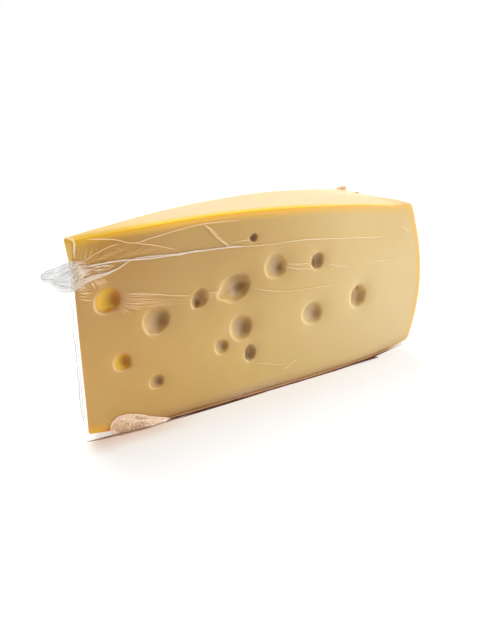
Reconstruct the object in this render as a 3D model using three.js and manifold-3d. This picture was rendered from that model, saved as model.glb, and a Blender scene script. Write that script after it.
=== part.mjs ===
// A wedge of large-eyed yellow cheese, wrapped tight in cling film.
//
// Millimetres, +Z up. The wedge is what two vertical cuts leave of a low round wheel.
// X runs from the tip to the rind along the foot of the front cut face, which looks
// along -Y. The origin is the middle of the flat part of the underside, in the plane
// that the wedge rests on.

import * as THREE from "three";
import { mergeVertices } from "three/addons/utils/BufferGeometryUtils.js";
import Module from "manifold-3d";

// The wheel, as radii from its axis and heights above the resting plane.
const WHEEL_RADIUS = 200; // at the lower rim
const RIM_HEIGHT = 88; // the upper rim
const RIM_INSET = 6.5; // how far the upper rim lies inside the lower one
const RIM_ROUND = 3; // rounding of both rims
const SIDE_BULGE = 8.3; // swell of the rind between the rims
const CENTRE_HEIGHT = 99; // the top, on the axis
const DOME_RISE = 6.2; // swell of the top between the axis and the rim
const TIP_LIFT = 4.3; // the underside, on the axis
const RIND_LIFT = 5.5; // the underside, at the lower rim
const FLAT_FROM = 44; // the underside is flat from this radius
const FLAT_TO = 140; // to this one
const WHEEL_STEPS = 144; // facets round the wheel
const CURVE_STEPS = 8; // facets along each curve of its section

// The two cuts and the blunt tip between them.
const WEDGE_ANGLE = THREE.MathUtils.degToRad(13.54);
const TIP_WIDTH = 7.3; // between the two cuts, above the wheel's axis
const TIP_LEVELS = [
  // front and rear: how far each corner of the tip is cut back along X
  { height: -20, front: 0, rear: 6 },
  { height: 50, front: 0, rear: 6 },
  { height: 72, front: 0, rear: 4.2 },
  { height: 84, front: 0.5, rear: 1.6 },
  { height: 99, front: 1.2, rear: -0.8 },
  { height: 130, front: 1.2, rear: -0.8 },
];
const CUT_LENGTH = 240; // past the rind

// The eyes that each cut opened: place on the face from the tip and from the resting
// plane, size across and up, depth, and turn in degrees.
const FRONT_EYES = [
  { along: 14.3, up: 69.4, wide: 11.6, tall: 12.3, deep: 3.6, turn: 0 },
  { along: 19.5, up: 37.3, wide: 9.3, tall: 9.2, deep: 3, turn: 0 },
  { along: 36.4, up: 22.6, wide: 8, tall: 8.2, deep: 2.8, turn: 0 },
  { along: 37.5, up: 54.5, wide: 13.2, tall: 15.1, deep: 4.6, turn: 10 },
  { along: 60.4, up: 60.9, wide: 10.5, tall: 12.5, deep: 4.6, turn: 35 },
  { along: 80.9, up: 63, wide: 16.5, tall: 15.2, deep: 5.2, turn: 0 },
  { along: 91.1, up: 86.4, wide: 4.9, tall: 4.6, deep: 3, turn: 0 },
  { along: 104.9, up: 69.5, wide: 12.7, tall: 14.4, deep: 4.2, turn: 0 },
  { along: 130.8, up: 67.6, wide: 8.4, tall: 10, deep: 5, turn: 0 },
  { along: 159, up: 42.3, wide: 10, tall: 15.1, deep: 4, turn: 0 },
  { along: 128.6, up: 38.7, wide: 13.3, tall: 14.1, deep: 3.9, turn: 0 },
  { along: 84.4, up: 40.1, wide: 13.6, tall: 14.4, deep: 4.6, turn: 0 },
  { along: 72.7, up: 32.4, wide: 8.1, tall: 8.9, deep: 2.9, turn: 0 },
  { along: 89.9, up: 24.4, wide: 7.6, tall: 10.1, deep: 4.6, turn: 0 },
];
const REAR_EYES = [
  { along: 31, up: 33, wide: 7, tall: 7.5, deep: 2.6, turn: 0 },
  { along: 48, up: 62, wide: 11, tall: 12, deep: 4, turn: 0 },
  { along: 63, up: 84, wide: 6, tall: 5.5, deep: 3.2, turn: 0 },
  { along: 76, up: 29, wide: 13, tall: 12.5, deep: 4.6, turn: 0 },
  { along: 98, up: 73, wide: 9, tall: 10, deep: 4.6, turn: 20 },
  { along: 105, up: 47, wide: 14, tall: 13, deep: 4.8, turn: 0 },
  { along: 129, up: 24, wide: 8.5, tall: 9, deep: 3, turn: 0 },
  { along: 136, up: 61, wide: 15, tall: 14, deep: 5, turn: 0 },
  { along: 160, up: 38, wide: 10, tall: 12, deep: 5, turn: -15 },
  { along: 168, up: 69, wide: 8, tall: 8.5, deep: 2.8, turn: 0 },
];
const EYE_STEPS = 14; // facets round an eye
const BUBBLE_STEPS = 4; // facets from its bottom to its lip
const BUBBLE_RADIUS = 0.88; // the bubble inside the eye's softened lip, of the eye's own
const BUBBLE_CENTRE = 0.45; // depth of the bubble's centre, of the eye's depth
const BUBBLE_SWEEP = THREE.MathUtils.degToRad(110); // where the bubble meets the lip

// The film: its wall and clearance, the ear that stands out from the tip, and the
// gathered pocket at the foot of the front face.
const FILM_GAP = 0.3;
const FILM_WALL = 0.4;
const FILM_HEM = 0.35; // lower edge of the film above the underside
const EAR = { reach: 13.6, top: 89.5, nose: 85.2, foot: 76.5, depth: 1, wall: 0.6, root: 5 };
const EAR_FOLDS = { count: 3, depth: 0.9, stepsAlong: 9, stepsUp: 12 };
const POCKET = { along: 26, out: 1.4, up: 4.2, length: 15, depth: 3.6, height: 5.6, folds: 7 };
const POCKET_FOLD = 0.12; // depth of the pocket's folds, of its own size

// The middle of the flat underside, where the wedge rests.
const REST_ALONG = (FLAT_FROM + FLAT_TO) / 2;
const REST_ACROSS = (TIP_WIDTH + REST_ALONG * Math.tan(WEDGE_ANGLE)) / 2;

const wasm = await Module();
wasm.setup();

/** A closed geometry as a solid that can be joined and cut. */
function solidFrom(geometry) {
  const bare = new THREE.BufferGeometry();
  bare.setAttribute("position", geometry.getAttribute("position"));
  bare.setIndex(geometry.getIndex());
  const merged = mergeVertices(bare, 1e-4);
  const corners = merged.getIndex().array;
  const triangles = [];
  for (let i = 0; i < corners.length; i += 3) {
    const [a, b, c] = corners.slice(i, i + 3);
    if (a !== b && b !== c && c !== a) {
      triangles.push(a, b, c);
    }
  }
  return new wasm.Manifold(
    new wasm.Mesh({
      numProp: 3,
      vertProperties: new Float32Array(merged.getAttribute("position").array),
      triVerts: new Uint32Array(triangles),
    }),
  );
}

/** A solid as a geometry again. */
function geometryFrom(solid) {
  const { vertProperties, triVerts } = solid.getMesh();
  const geometry = new THREE.BufferGeometry();
  geometry.setAttribute("position", new THREE.BufferAttribute(vertProperties, 3));
  geometry.setIndex(new THREE.BufferAttribute(triVerts, 1));
  geometry.computeVertexNormals();
  return geometry;
}

/** Points moved outwards by `amount`, away from the left of their direction of travel. */
function grown(points, amount, closed) {
  return points.map((point, i) => {
    const before = points[(i + points.length - 1) % points.length];
    const after = points[(i + 1) % points.length];
    const into = point.clone().sub(!closed && i === 0 ? point : before);
    const away = (!closed && i === points.length - 1 ? point : after).clone().sub(point);
    const sides = [into, away].filter((side) => side.length() > 0);
    const normals = sides.map((side) => new THREE.Vector2(side.y, -side.x).normalize());
    const sum = normals[0].clone().add(normals.at(-1));
    return point.clone().addScaledVector(sum, (2 * amount) / sum.lengthSq());
  });
}

/** A section of (radius, height) points turned round the vertical axis. */
function turned(points, steps) {
  const upright = new THREE.Matrix4().set(1, 0, 0, 0, 0, 0, -1, 0, 0, 1, 0, 0, 0, 0, 0, 1);
  return new THREE.LatheGeometry(points, steps).applyMatrix4(upright);
}

/** The stretch of a quadratic curve between two of its parameters. */
function stretch({ v0, v1, v2 }, from, to) {
  const at = (s, t) =>
    new THREE.Vector2()
      .addScaledVector(v0, (1 - s) * (1 - t))
      .addScaledVector(v1, s * (1 - t) + t * (1 - s))
      .addScaledVector(v2, s * t);
  return new THREE.QuadraticBezierCurve(at(from, from), at(from, to), at(to, to));
}

/** Half section of the wheel, from the foot of its axis round the rind to the top. */
function wheelSection() {
  const lowRim = new THREE.Vector2(WHEEL_RADIUS, RIND_LIFT);
  const highRim = new THREE.Vector2(WHEEL_RADIUS - RIM_INSET, RIM_HEIGHT);
  const crown = new THREE.Vector2(0, CENTRE_HEIGHT);
  const flatStart = new THREE.Vector2(FLAT_FROM, 0);
  const flatEnd = new THREE.Vector2(FLAT_TO, 0);
  const arch = (from, to, swell) =>
    new THREE.QuadraticBezierCurve(
      from,
      from.clone().add(to).multiplyScalar(0.5).addScaledVector(swell, 2),
      to,
    );
  const corner = (a, rim, b) => new THREE.QuadraticBezierCurve(a.v2, rim, b.v0);

  const tipFoot = new THREE.QuadraticBezierCurve(
    new THREE.Vector2(0, TIP_LIFT),
    new THREE.Vector2(FLAT_FROM / 2, 0),
    flatStart,
  );
  const rindFoot = new THREE.QuadraticBezierCurve(
    flatEnd,
    new THREE.Vector2((FLAT_TO + WHEEL_RADIUS) / 2, 0),
    lowRim,
  );
  const side = arch(lowRim, highRim, new THREE.Vector2(SIDE_BULGE, 0));
  const top = arch(highRim, crown, new THREE.Vector2(0, DOME_RISE));

  const sideTrim = RIM_ROUND / (RIM_HEIGHT - RIND_LIFT);
  const footRun = stretch(rindFoot, 0, 1 - RIM_ROUND / (WHEEL_RADIUS - FLAT_TO));
  const sideRun = stretch(side, sideTrim, 1 - sideTrim);
  const topRun = stretch(top, RIM_ROUND / highRim.x, 1);

  const section = new THREE.CurvePath();
  section.add(tipFoot);
  section.add(new THREE.LineCurve(flatStart, flatEnd));
  section.add(footRun);
  section.add(corner(footRun, lowRim, sideRun));
  section.add(sideRun);
  section.add(corner(sideRun, highRim, topRun));
  section.add(topRun);
  return section.getPoints(CURVE_STEPS);
}

/** The whole wheel, with every surface moved out by `grow`. */
function wheel(grow) {
  const section = grown(wheelSection(), grow, false);
  section[0].x = 0;
  section.at(-1).x = 0;
  return solidFrom(turned(section, WHEEL_STEPS)).translate([0, TIP_WIDTH / 2, 0]);
}

/** Plan of the wedge at one level of the tip: front tip, front far, rear far, rear tip. */
function wedgePlan({ front, rear }, grow) {
  const rearCut = (x) => new THREE.Vector2(x, TIP_WIDTH + x * Math.tan(WEDGE_ANGLE));
  const corners = [
    new THREE.Vector2(front, 0),
    new THREE.Vector2(CUT_LENGTH, 0),
    rearCut(CUT_LENGTH),
    rearCut(rear),
  ];
  return grown(corners, grow, true);
}

/**
 * A closed body through a stack of rings with the same even number of corners. The two
 * halves of a ring run side by side, and each end is closed by quads between them.
 */
function stacked(rings) {
  const count = rings[0].length;
  const positions = rings.flat().flatMap((point) => point.toArray());
  const index = [];
  for (let level = 0; level + 1 < rings.length; level += 1) {
    for (let i = 0; i < count; i += 1) {
      const a = level * count + i;
      const b = level * count + ((i + 1) % count);
      index.push(a, b, b + count, a, b + count, a + count);
    }
  }
  const last = (rings.length - 1) * count;
  for (let i = 0; i + 1 < count / 2; i += 1) {
    const j = count - 1 - i;
    index.push(i, j - 1, i + 1, i, j, j - 1);
    index.push(last + i, last + i + 1, last + j - 1, last + i, last + j - 1, last + j);
  }
  const geometry = new THREE.BufferGeometry();
  geometry.setAttribute("position", new THREE.Float32BufferAttribute(positions, 3));
  geometry.setIndex(index);
  return geometry;
}

/** The block between the two cuts, taller and longer than the wheel. */
function cutBlock(grow) {
  const rings = TIP_LEVELS.map((level) =>
    wedgePlan(level, grow).map((point) => new THREE.Vector3(point.x, point.y, level.height)),
  );
  return solidFrom(stacked(rings));
}

/** The wedge without its eyes, with every surface moved out by `grow`. */
function wedge(grow) {
  return wheel(grow).intersect(cutBlock(grow));
}

/** The hollow of one eye: a bubble that opens through a softened lip. */
function eye({ wide, tall, deep, turn }) {
  const points = [];
  for (let i = 0; i <= BUBBLE_STEPS; i += 1) {
    const angle = (BUBBLE_SWEEP * i) / BUBBLE_STEPS;
    const depth = BUBBLE_CENTRE + (1 - BUBBLE_CENTRE) * Math.cos(angle);
    points.push(new THREE.Vector2(BUBBLE_RADIUS * Math.sin(angle), -depth));
  }
  points[0].x = 0;
  points.push(new THREE.Vector2(0.87, -0.1));
  points.push(new THREE.Vector2(1, 0));
  points.push(new THREE.Vector2(1, 0.2));
  points.push(new THREE.Vector2(0, 0.2));
  const geometry = new THREE.LatheGeometry(points, EYE_STEPS);
  geometry.scale(wide / 2, deep, tall / 2);
  geometry.rotateX(Math.PI);
  geometry.rotateY(THREE.MathUtils.degToRad(turn));
  return geometry;
}

/** An eye of the front cut, in its place. */
function frontEye(hollow) {
  return solidFrom(eye(hollow).translate(hollow.along, 0, hollow.up));
}

/** An eye of the rear cut, in its place. */
function rearEye(hollow) {
  const geometry = eye(hollow).translate(-hollow.along, 0, hollow.up);
  geometry.rotateZ(Math.PI + WEDGE_ANGLE);
  return solidFrom(geometry.translate(0, TIP_WIDTH, 0));
}

/** What lies below the film's lower edge, under the wedge. */
function underWedge() {
  const deep = -20;
  const section = new THREE.Path();
  section.moveTo(0, deep);
  section.lineTo(CUT_LENGTH, deep);
  section.lineTo(CUT_LENGTH, RIND_LIFT + FILM_HEM);
  section.lineTo(WHEEL_RADIUS, RIND_LIFT + FILM_HEM);
  section.quadraticCurveTo((FLAT_TO + WHEEL_RADIUS) / 2, FILM_HEM, FLAT_TO, FILM_HEM);
  section.lineTo(FLAT_FROM, FILM_HEM);
  section.quadraticCurveTo(FLAT_FROM / 2, FILM_HEM, 0, TIP_LIFT + FILM_HEM);
  const points = section.getPoints(CURVE_STEPS);
  return solidFrom(turned(points, WHEEL_STEPS)).translate([0, TIP_WIDTH / 2, 0]);
}

/** The ear of folded film that stands out from the tip. */
function ear() {
  const { reach, top, nose, foot, depth, wall, root } = EAR;
  const upper = new THREE.SplineCurve([
    new THREE.Vector2(root, top),
    new THREE.Vector2(-0.2 * reach, top),
    new THREE.Vector2(-0.75 * reach, top - 1.2),
    new THREE.Vector2(-reach, nose + 0.8),
  ]);
  const lower = new THREE.SplineCurve([
    new THREE.Vector2(root, foot),
    new THREE.Vector2(-0.1 * reach, foot),
    new THREE.Vector2(-0.5 * reach, foot + 3.5),
    new THREE.Vector2(-reach, nose - 0.8),
  ]);
  const { count, depth: foldDepth, stepsAlong, stepsUp } = EAR_FOLDS;
  const rings = [];
  for (let i = 0; i <= stepsAlong; i += 1) {
    const high = upper.getPoint(i / stepsAlong);
    const low = lower.getPoint(i / stepsAlong);
    const side = (offset) =>
      Array.from({ length: stepsUp + 1 }, (_, j) => {
        const spot = low.clone().lerp(high, j / stepsUp);
        const fold = foldDepth * Math.sin((2 * Math.PI * count * j) / stepsUp + 0.2 * i);
        return new THREE.Vector3(spot.x, depth + fold + offset, spot.y);
      });
    rings.push([...side(0), ...side(wall).reverse()]);
  }
  return solidFrom(stacked(rings));
}

/** The pocket of gathered film at the foot of the front face, with its folds. */
function pocket() {
  const { along, out, up, length, depth, height, folds } = POCKET;
  const geometry = new THREE.SphereGeometry(1, 28, 12);
  geometry.rotateX(Math.PI / 2);
  const spots = geometry.getAttribute("position");
  const spot = new THREE.Vector3();
  for (let i = 0; i < spots.count; i += 1) {
    spot.fromBufferAttribute(spots, i);
    const round = Math.atan2(spot.z, spot.x);
    const fade = Math.hypot(spot.x, spot.z);
    spot.multiplyScalar(1 + POCKET_FOLD * fade * Math.cos(folds * round));
    spots.setXYZ(i, spot.x * length, spot.y * depth, spot.z * height);
  }
  geometry.translate(along, -out, up);
  return solidFrom(geometry);
}

/** Everything below the film's lowest level. */
function ground() {
  const height = 20;
  const slab = new THREE.BoxGeometry(3 * WHEEL_RADIUS, 3 * WHEEL_RADIUS, height);
  slab.translate(0, 0, FILM_HEM - height / 2);
  return solidFrom(slab);
}

/** The cheese: the wedge with the eyes of both cuts opened. */
function cheeseSolid() {
  const hollows = [...FRONT_EYES.map(frontEye), ...REAR_EYES.map(rearEye)];
  return hollows.reduce((body, hollow) => body.subtract(hollow), wedge(0));
}

/** The film: one thin skin, open underneath, with its ear and its pocket. */
function filmSolid() {
  const room = wedge(FILM_GAP);
  const skin = wedge(FILM_GAP + FILM_WALL).subtract(underWedge());
  return skin.add(ear()).add(pocket().subtract(ground())).subtract(room);
}

/** A named sub-part in its place. */
function piece(name, solid, finish) {
  const mesh = new THREE.Mesh(geometryFrom(solid), new THREE.MeshStandardMaterial(finish));
  mesh.name = name;
  mesh.position.set(-REST_ALONG, -REST_ACROSS, 0);
  return mesh;
}

const group = new THREE.Group();
group.add(
  piece("cheese", cheeseSolid(), { color: 0xe0c080, roughness: 0.55, metalness: 0 }),
  piece("film", filmSolid(), {
    color: 0xf2f2f0,
    roughness: 0.12,
    metalness: 0,
    transparent: true,
    opacity: 0.2,
  }),
);

export default group;
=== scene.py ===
"""Looks of a wedge of large-eyed cheese, wrapped tight in cling film.

Shapes are worked out in millimetres in the wedge's own coordinates: X from the tip
along the foot of the front cut, Y towards the rear cut, Z up from the resting plane.
`placed` turns them into metres in the part's frame.
"""

import logging
import math
from collections.abc import Callable, Iterable, Sequence
from dataclasses import dataclass, field, replace
from enum import Enum

import bmesh
import bpy
import numpy as np
from mathutils import Matrix, Vector
from mathutils.geometry import delaunay_2d_cdt

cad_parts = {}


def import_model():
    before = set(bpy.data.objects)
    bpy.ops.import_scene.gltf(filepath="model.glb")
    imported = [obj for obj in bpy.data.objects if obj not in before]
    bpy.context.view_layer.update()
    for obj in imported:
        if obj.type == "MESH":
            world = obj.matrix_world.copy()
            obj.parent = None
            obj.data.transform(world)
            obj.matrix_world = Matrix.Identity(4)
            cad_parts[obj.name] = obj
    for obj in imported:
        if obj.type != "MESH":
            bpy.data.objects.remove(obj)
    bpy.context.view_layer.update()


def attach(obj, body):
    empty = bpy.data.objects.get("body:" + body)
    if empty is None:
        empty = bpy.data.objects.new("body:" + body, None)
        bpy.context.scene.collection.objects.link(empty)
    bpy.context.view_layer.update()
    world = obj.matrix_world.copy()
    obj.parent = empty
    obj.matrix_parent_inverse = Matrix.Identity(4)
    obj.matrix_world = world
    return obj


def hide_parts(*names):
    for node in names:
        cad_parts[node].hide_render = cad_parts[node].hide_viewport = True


log = logging.getLogger("cheese_wedge")

# Metres in a millimetre, and the width of the blunt tip and the angle between the cuts.
MM = 0.001
TIP_WIDTH = 7.3
CUT_ANGLE = math.radians(13.54)
# Middle of the flat patch of the underside, which is the origin of the part's frame.
REST_ALONG = 92.0
REST_ACROSS = (TIP_WIDTH + REST_ALONG * math.tan(CUT_ANGLE)) / 2
# How many waves or folds a pattern adds up, and what brings their sum back to about 1.
SWELL_WAVES, SWELL_SUM = 7, 3.0
FACET_FOLDS, FACET_SUM = 5, 2.6

Points = np.ndarray
Pair = tuple[float, float]
Triple = tuple[float, float, float]
Colour = Triple
Path = tuple[tuple[float, ...], ...]
Lines = list[tuple[Points, float]]
Piece = bpy.types.Object
Pieces = list[Piece]
Settings = dict[str, object] | None
Inputs = dict[str | int, object] | None


def placed(points: Points) -> Points:
    """The wedge's own millimetres as metres in the part's frame."""
    return (points - np.array([REST_ALONG, REST_ACROSS, 0.0])) * MM


def smooth(low: float, high: float, value: Points) -> Points:
    """Smooth step of a value, from 0 at `low` to 1 at `high`."""
    share = np.clip((value - low) / (high - low), 0.0, 1.0)
    return share * share * (3.0 - 2.0 * share)


def swells(points: Points, length: float, seed: int) -> Points:
    """A gentle, repeatable unevenness, about -1 to 1, with waves of a given length.

    Args:
        points: rows of x, y, z.
        length: typical length of a wave, in the points' unit.
        seed: which pattern.

    Returns:
        One value per point.
    """
    chance = np.random.default_rng(seed)
    total = np.zeros(len(points))
    for _ in range(SWELL_WAVES):
        heading = chance.normal(size=3)
        heading *= 2 * math.pi / (length * np.linalg.norm(heading) * chance.uniform(0.7, 1.6))
        total += np.sin(points @ heading + chance.uniform(0, 2 * math.pi))
    return total / SWELL_SUM


def facets(points: Points, size: float, seed: int) -> Points:
    """The sharp folds of crumpled film, about -1 to 1.

    Args:
        points: rows of two or three coordinates.
        size: typical distance between folds, in the points' unit.
        seed: which pattern.

    Returns:
        One value per point.
    """
    chance = np.random.default_rng(seed)
    width = points.shape[1]
    total = np.zeros(len(points))
    for _ in range(FACET_FOLDS):
        heading = chance.normal(size=width)
        heading /= size * np.linalg.norm(heading) * chance.uniform(1.2, 3.2)
        bend = chance.normal(size=width)
        bend /= size * np.linalg.norm(bend) * 4.0
        phase = points @ heading + 0.35 * np.sin(2 * math.pi * (points @ bend))
        phase += chance.uniform(0, 1)
        total += 1.0 - 4.0 * np.abs(phase - np.round(phase))
    return total / FACET_SUM


@dataclass(frozen=True)
class Wheel:
    """Half section of the wheel that the wedge was cut from, in millimetres."""

    radius: float = 200.0
    rim_height: float = 88.0
    rim_inset: float = 6.5
    rim_round: float = 3.0
    tip_round: float = 1.6
    side_bulge: float = 8.3
    centre_height: float = 99.0
    dome_rise: float = 6.2
    tip_lift: float = 4.3
    rind_lift: float = 5.5
    flat_from: float = 44.0
    flat_to: float = 140.0
    long_run: int = 400
    short_run: int = 200
    corner_steps: int = 6

    def top(self, radius: Points) -> Points:
        """Height of the domed top at a radius.

        Args:
            radius: distances from the wheel's axis.

        Returns:
            The heights.
        """
        share = radius / (self.radius - self.rim_inset)
        swell = 4 * self.dome_rise * share * (1 - share)
        return self.centre_height + (self.rim_height - self.centre_height) * share + swell

    def foot(self, radius: Points) -> Points:
        """Height of the underside at a radius.

        Args:
            radius: distances from the wheel's axis.

        Returns:
            The heights.
        """
        tip = np.clip(1 - radius / self.flat_from, 0, 1) ** 2
        rind = np.clip((radius - self.flat_to) / (self.radius - self.flat_to), 0, 1) ** 2
        return self.tip_lift * tip + self.rind_lift * rind

    def side(self, height: Points) -> Points:
        """Radius of the rind at a height."""
        share = (height - self.rind_lift) / (self.rim_height - self.rind_lift)
        return self.radius - self.rim_inset * share + 4 * self.side_bulge * share * (1 - share)

    def outline(self, spacing: float) -> Points:
        """Closed section of the wedge, anticlockwise from the foot of its tip.

        Args:
            spacing: distance between points along the runs.

        Returns:
            Rows of (radius, height), without a repeated last point.
        """
        rim = self.radius - self.rim_inset
        out = np.linspace(0.0, self.radius, self.long_run)
        up = np.linspace(self.rind_lift, self.rim_height, self.short_run)
        back = np.linspace(rim, 0.0, self.long_run)
        down = np.linspace(self.centre_height, self.tip_lift, self.short_run)
        runs = [
            np.column_stack([out, self.foot(out)]),
            np.column_stack([self.side(up), up]),
            np.column_stack([back, self.top(back)]),
            np.column_stack([np.zeros_like(down), down]),
        ]
        rounds = [self.rim_round, self.rim_round, self.tip_round, self.tip_round]
        loop: list[Points] = []
        for i, run in enumerate(runs):
            trimmed = resampled(run, spacing, rounds[i - 1], rounds[i])
            following = resampled(runs[(i + 1) % 4], spacing, rounds[i], rounds[(i + 1) % 4])
            loop.append(trimmed)
            loop.append(corner(trimmed[-1], run[-1], following[0], self.corner_steps))
        return np.vstack(loop)


def reach_along(points: Points) -> Points:
    """Distance from the start of a run to each of its points."""
    steps = np.linalg.norm(np.diff(points, axis=0), axis=1)
    return np.concatenate([[0.0], np.cumsum(steps)])


def resampled(run: Points, spacing: float, skip_start: float, skip_end: float) -> Points:
    """Points at an even spacing along a run, short of its two ends.

    Args:
        run: rows of coordinates, close together.
        spacing: wanted distance between points.
        skip_start: length left out at the start.
        skip_end: length left out at the end.

    Returns:
        Rows of coordinates.
    """
    reach = reach_along(run)
    count = max(2, round((reach[-1] - skip_start - skip_end) / spacing) + 1)
    spots = np.linspace(skip_start, reach[-1] - skip_end, count)
    return np.column_stack([np.interp(spots, reach, column) for column in run.T])


def padded(knots: Points) -> Points:
    """Knots with one more at each end, in line with the last two."""
    return np.vstack([2 * knots[0] - knots[1], knots, 2 * knots[-1] - knots[-2]])


def eased(p0: Points, p1: Points, p2: Points, p3: Points, t: Points) -> Points:
    """Smooth curve from knot p1 to p2, between p0 and p3, at shares t of the way."""
    bend = 2 * p0 - 5 * p1 + 4 * p2 - p3
    return 0.5 * (2 * p1 + (p2 - p0) * t + bend * t**2 + (3 * p1 - p0 - 3 * p2 + p3) * t**3)


def corner(start: Points, tip: Points, end: Points, steps: int) -> Points:
    """The inner points of a rounded corner between two runs."""
    share = np.linspace(0, 1, steps + 1)[1:-1, None]
    return (1 - share) ** 2 * start + 2 * share * (1 - share) * tip + share**2 * end


def grown(loop: Points, amount: float) -> Points:
    """A closed anticlockwise loop moved out by `amount`, or in if it is negative.

    Args:
        loop: rows of two coordinates.
        amount: how far it is moved.

    Returns:
        The moved loop.
    """
    along = np.roll(loop, -1, axis=0) - loop
    along /= np.linalg.norm(along, axis=1)[:, None]
    out = np.column_stack([along[:, 1], -along[:, 0]])
    both = out + np.roll(out, 1, axis=0)
    return loop + both * (2 * amount / np.sum(both * both, axis=1))[:, None]


class EyeForm(Enum):
    """How an eye goes in: rows of (share of its radius, share of its depth) from the lip."""

    BUBBLE = (
        (1.25, 0), (1.12, 0.012), (1.02, 0.04), (0.95, 0.09), (0.9, 0.17), (0.86, 0.29),
        (0.81, 0.44), (0.72, 0.62), (0.58, 0.79), (0.4, 0.92), (0.2, 0.985), (0, 1),
    )
    BOWL = (
        (1.25, 0), (1.13, 0.008), (1.04, 0.03), (0.97, 0.08), (0.89, 0.17), (0.79, 0.32),
        (0.67, 0.51), (0.53, 0.7), (0.38, 0.86), (0.22, 0.96), (0.1, 0.99), (0, 1),
    )

    @property
    def film_share(self) -> float:
        """How far the film follows the eye in, as a share of the eye's depth."""
        return 0.72 if self is EyeForm.BOWL else 0.16


@dataclass(frozen=True)
class Patch:
    """A round patch on a cut face: its middle and its size, in millimetres."""

    along: float
    up: float
    wide: float
    tall: float

    def offset(self, spots: Points) -> tuple[Points, Points]:
        """How far aside and above its middle places lie, as shares of its half sizes."""
        side = (spots[:, 0] - self.along) / (self.wide / 2)
        return side, (spots[:, 1] - self.up) / (self.tall / 2)


@dataclass(frozen=True)
class ShadingPatch(Patch):
    """A patch of painted shade, or a paler one of painted light, placed from an eye's centre."""

    strength: float


@dataclass(frozen=True)
class Eye(Patch):
    """An eye that a cut opened.

    It leans by `slant` towards its bottom, is drawn out by `pinch` towards the angle
    `pinch_at`, and looks milky by `veil` where the film stands off its bottom. Patches of
    painted shade darken its walls, and its gleams are patches of painted light.
    """

    deep: float
    form: EyeForm = EyeForm.BOWL
    turn: float = 0.0
    slant: Pair = (0.42, -0.18)
    pinch: float = 0.0
    pinch_at: float = 180.0
    veil: float = 1.0
    stains: tuple[ShadingPatch, ...] = ()
    gleams: tuple[ShadingPatch, ...] = ()


BUBBLE = EyeForm.BUBBLE
FRONT_EYES = (
    Eye(
        15.1, 69.2, 13, 13, 3.6, veil=0, slant=(0.3, -0.05),
        stains=(ShadingPatch(4.2, 0.4, 6, 8.4, 0.92), ShadingPatch(1.8, -4.9, 10, 2.6, 0.6)),
    ),
    Eye(
        19.8, 37.3, 9.8, 9.2, 3, veil=0, slant=(0.3, -0.1),
        stains=(ShadingPatch(1.8, 0.8, 5, 6, 0.8), ShadingPatch(3, -2.4, 4, 2.4, 0.5)),
    ),
    Eye(36.6, 22.6, 8.2, 8.2, 2.8, stains=(ShadingPatch(1.2, 0, 4, 4, 0.65),)),
    Eye(
        38.2, 54.5, 13.8, 15.1, 4.6, turn=10,
        stains=(ShadingPatch(3.4, 0.4, 6.2, 7.8, 0.66),), gleams=(ShadingPatch(-2.6, -2, 5.4, 9, 0.2),),
    ),
    Eye(
        61.4, 60.9, 8.6, 11.8, 4.6, turn=35,
        stains=(ShadingPatch(-1.9, -2.4, 3, 4.8, 1), ShadingPatch(0.4, 2.4, 4.6, 4.4, 0.4)),
    ),
    Eye(
        81.4, 62.4, 19, 16.4, 5.2, pinch=0.3, pinch_at=200,
        stains=(
            ShadingPatch(2.4, 0.3, 7.4, 4.8, 0.85),
            ShadingPatch(1.8, 4.9, 11, 4.4, 0.4),
            ShadingPatch(5.6, -2.8, 6, 5, 0.35),
        ),
        gleams=(ShadingPatch(-1.6, -1.2, 3.4, 7, 0.6), ShadingPatch(1, -3.6, 5, 2, 0.4)),
    ),
    Eye(91.1, 86.4, 4.9, 4.6, 3, BUBBLE, veil=0.2, stains=(ShadingPatch(0, 0, 3.6, 3.6, 0.75),)),
    Eye(
        104.9, 69.5, 12.9, 14.4, 4.2,
        stains=(ShadingPatch(2.2, -1.2, 3.8, 4.4, 0.62),), gleams=(ShadingPatch(-2, 0.2, 5, 9, 0.4),),
    ),
    Eye(
        130.8, 67.6, 8.4, 10, 5, BUBBLE, veil=0.3,
        stains=(ShadingPatch(1.2, 0.2, 3, 4.4, 0.45), ShadingPatch(-3.1, 0.4, 1.4, 8, 0.5)),
        gleams=(ShadingPatch(-0.4, 0, 6, 9, 0.4),),
    ),
    Eye(
        159.6, 42.3, 10.8, 15.3, 4, veil=0.5,
        stains=(ShadingPatch(-0.8, 4.6, 1.5, 2.6, 0.95), ShadingPatch(-4.2, -0.6, 1, 10, 0.45)),
        gleams=(ShadingPatch(-2.2, -0.4, 3.4, 9, 0.5),),
    ),
    Eye(
        128.6, 38.7, 13.3, 14.1, 3.9,
        stains=(ShadingPatch(2.4, 0, 4.2, 4.6, 0.34),), gleams=(ShadingPatch(-1.6, -0.4, 6.4, 9, 0.5),),
    ),
    Eye(
        84.6, 40.1, 13.8, 14.4, 4.6,
        stains=(ShadingPatch(2.6, -0.2, 6, 7, 0.52),), gleams=(ShadingPatch(-2.6, 0, 5, 9, 0.35),),
    ),
    Eye(72.9, 32.4, 8.4, 8.9, 2.9, stains=(ShadingPatch(1.3, 0, 3.6, 4.2, 0.5),)),
    Eye(
        89.9, 24.4, 7.6, 10.1, 4.6, BUBBLE, veil=0.2,
        stains=(ShadingPatch(0.9, 0.2, 4, 6, 0.45), ShadingPatch(-2.9, 0.2, 1.3, 7.6, 0.55)),
        gleams=(ShadingPatch(0.4, 0, 6, 9, 0.55),),
    ),
)
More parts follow.
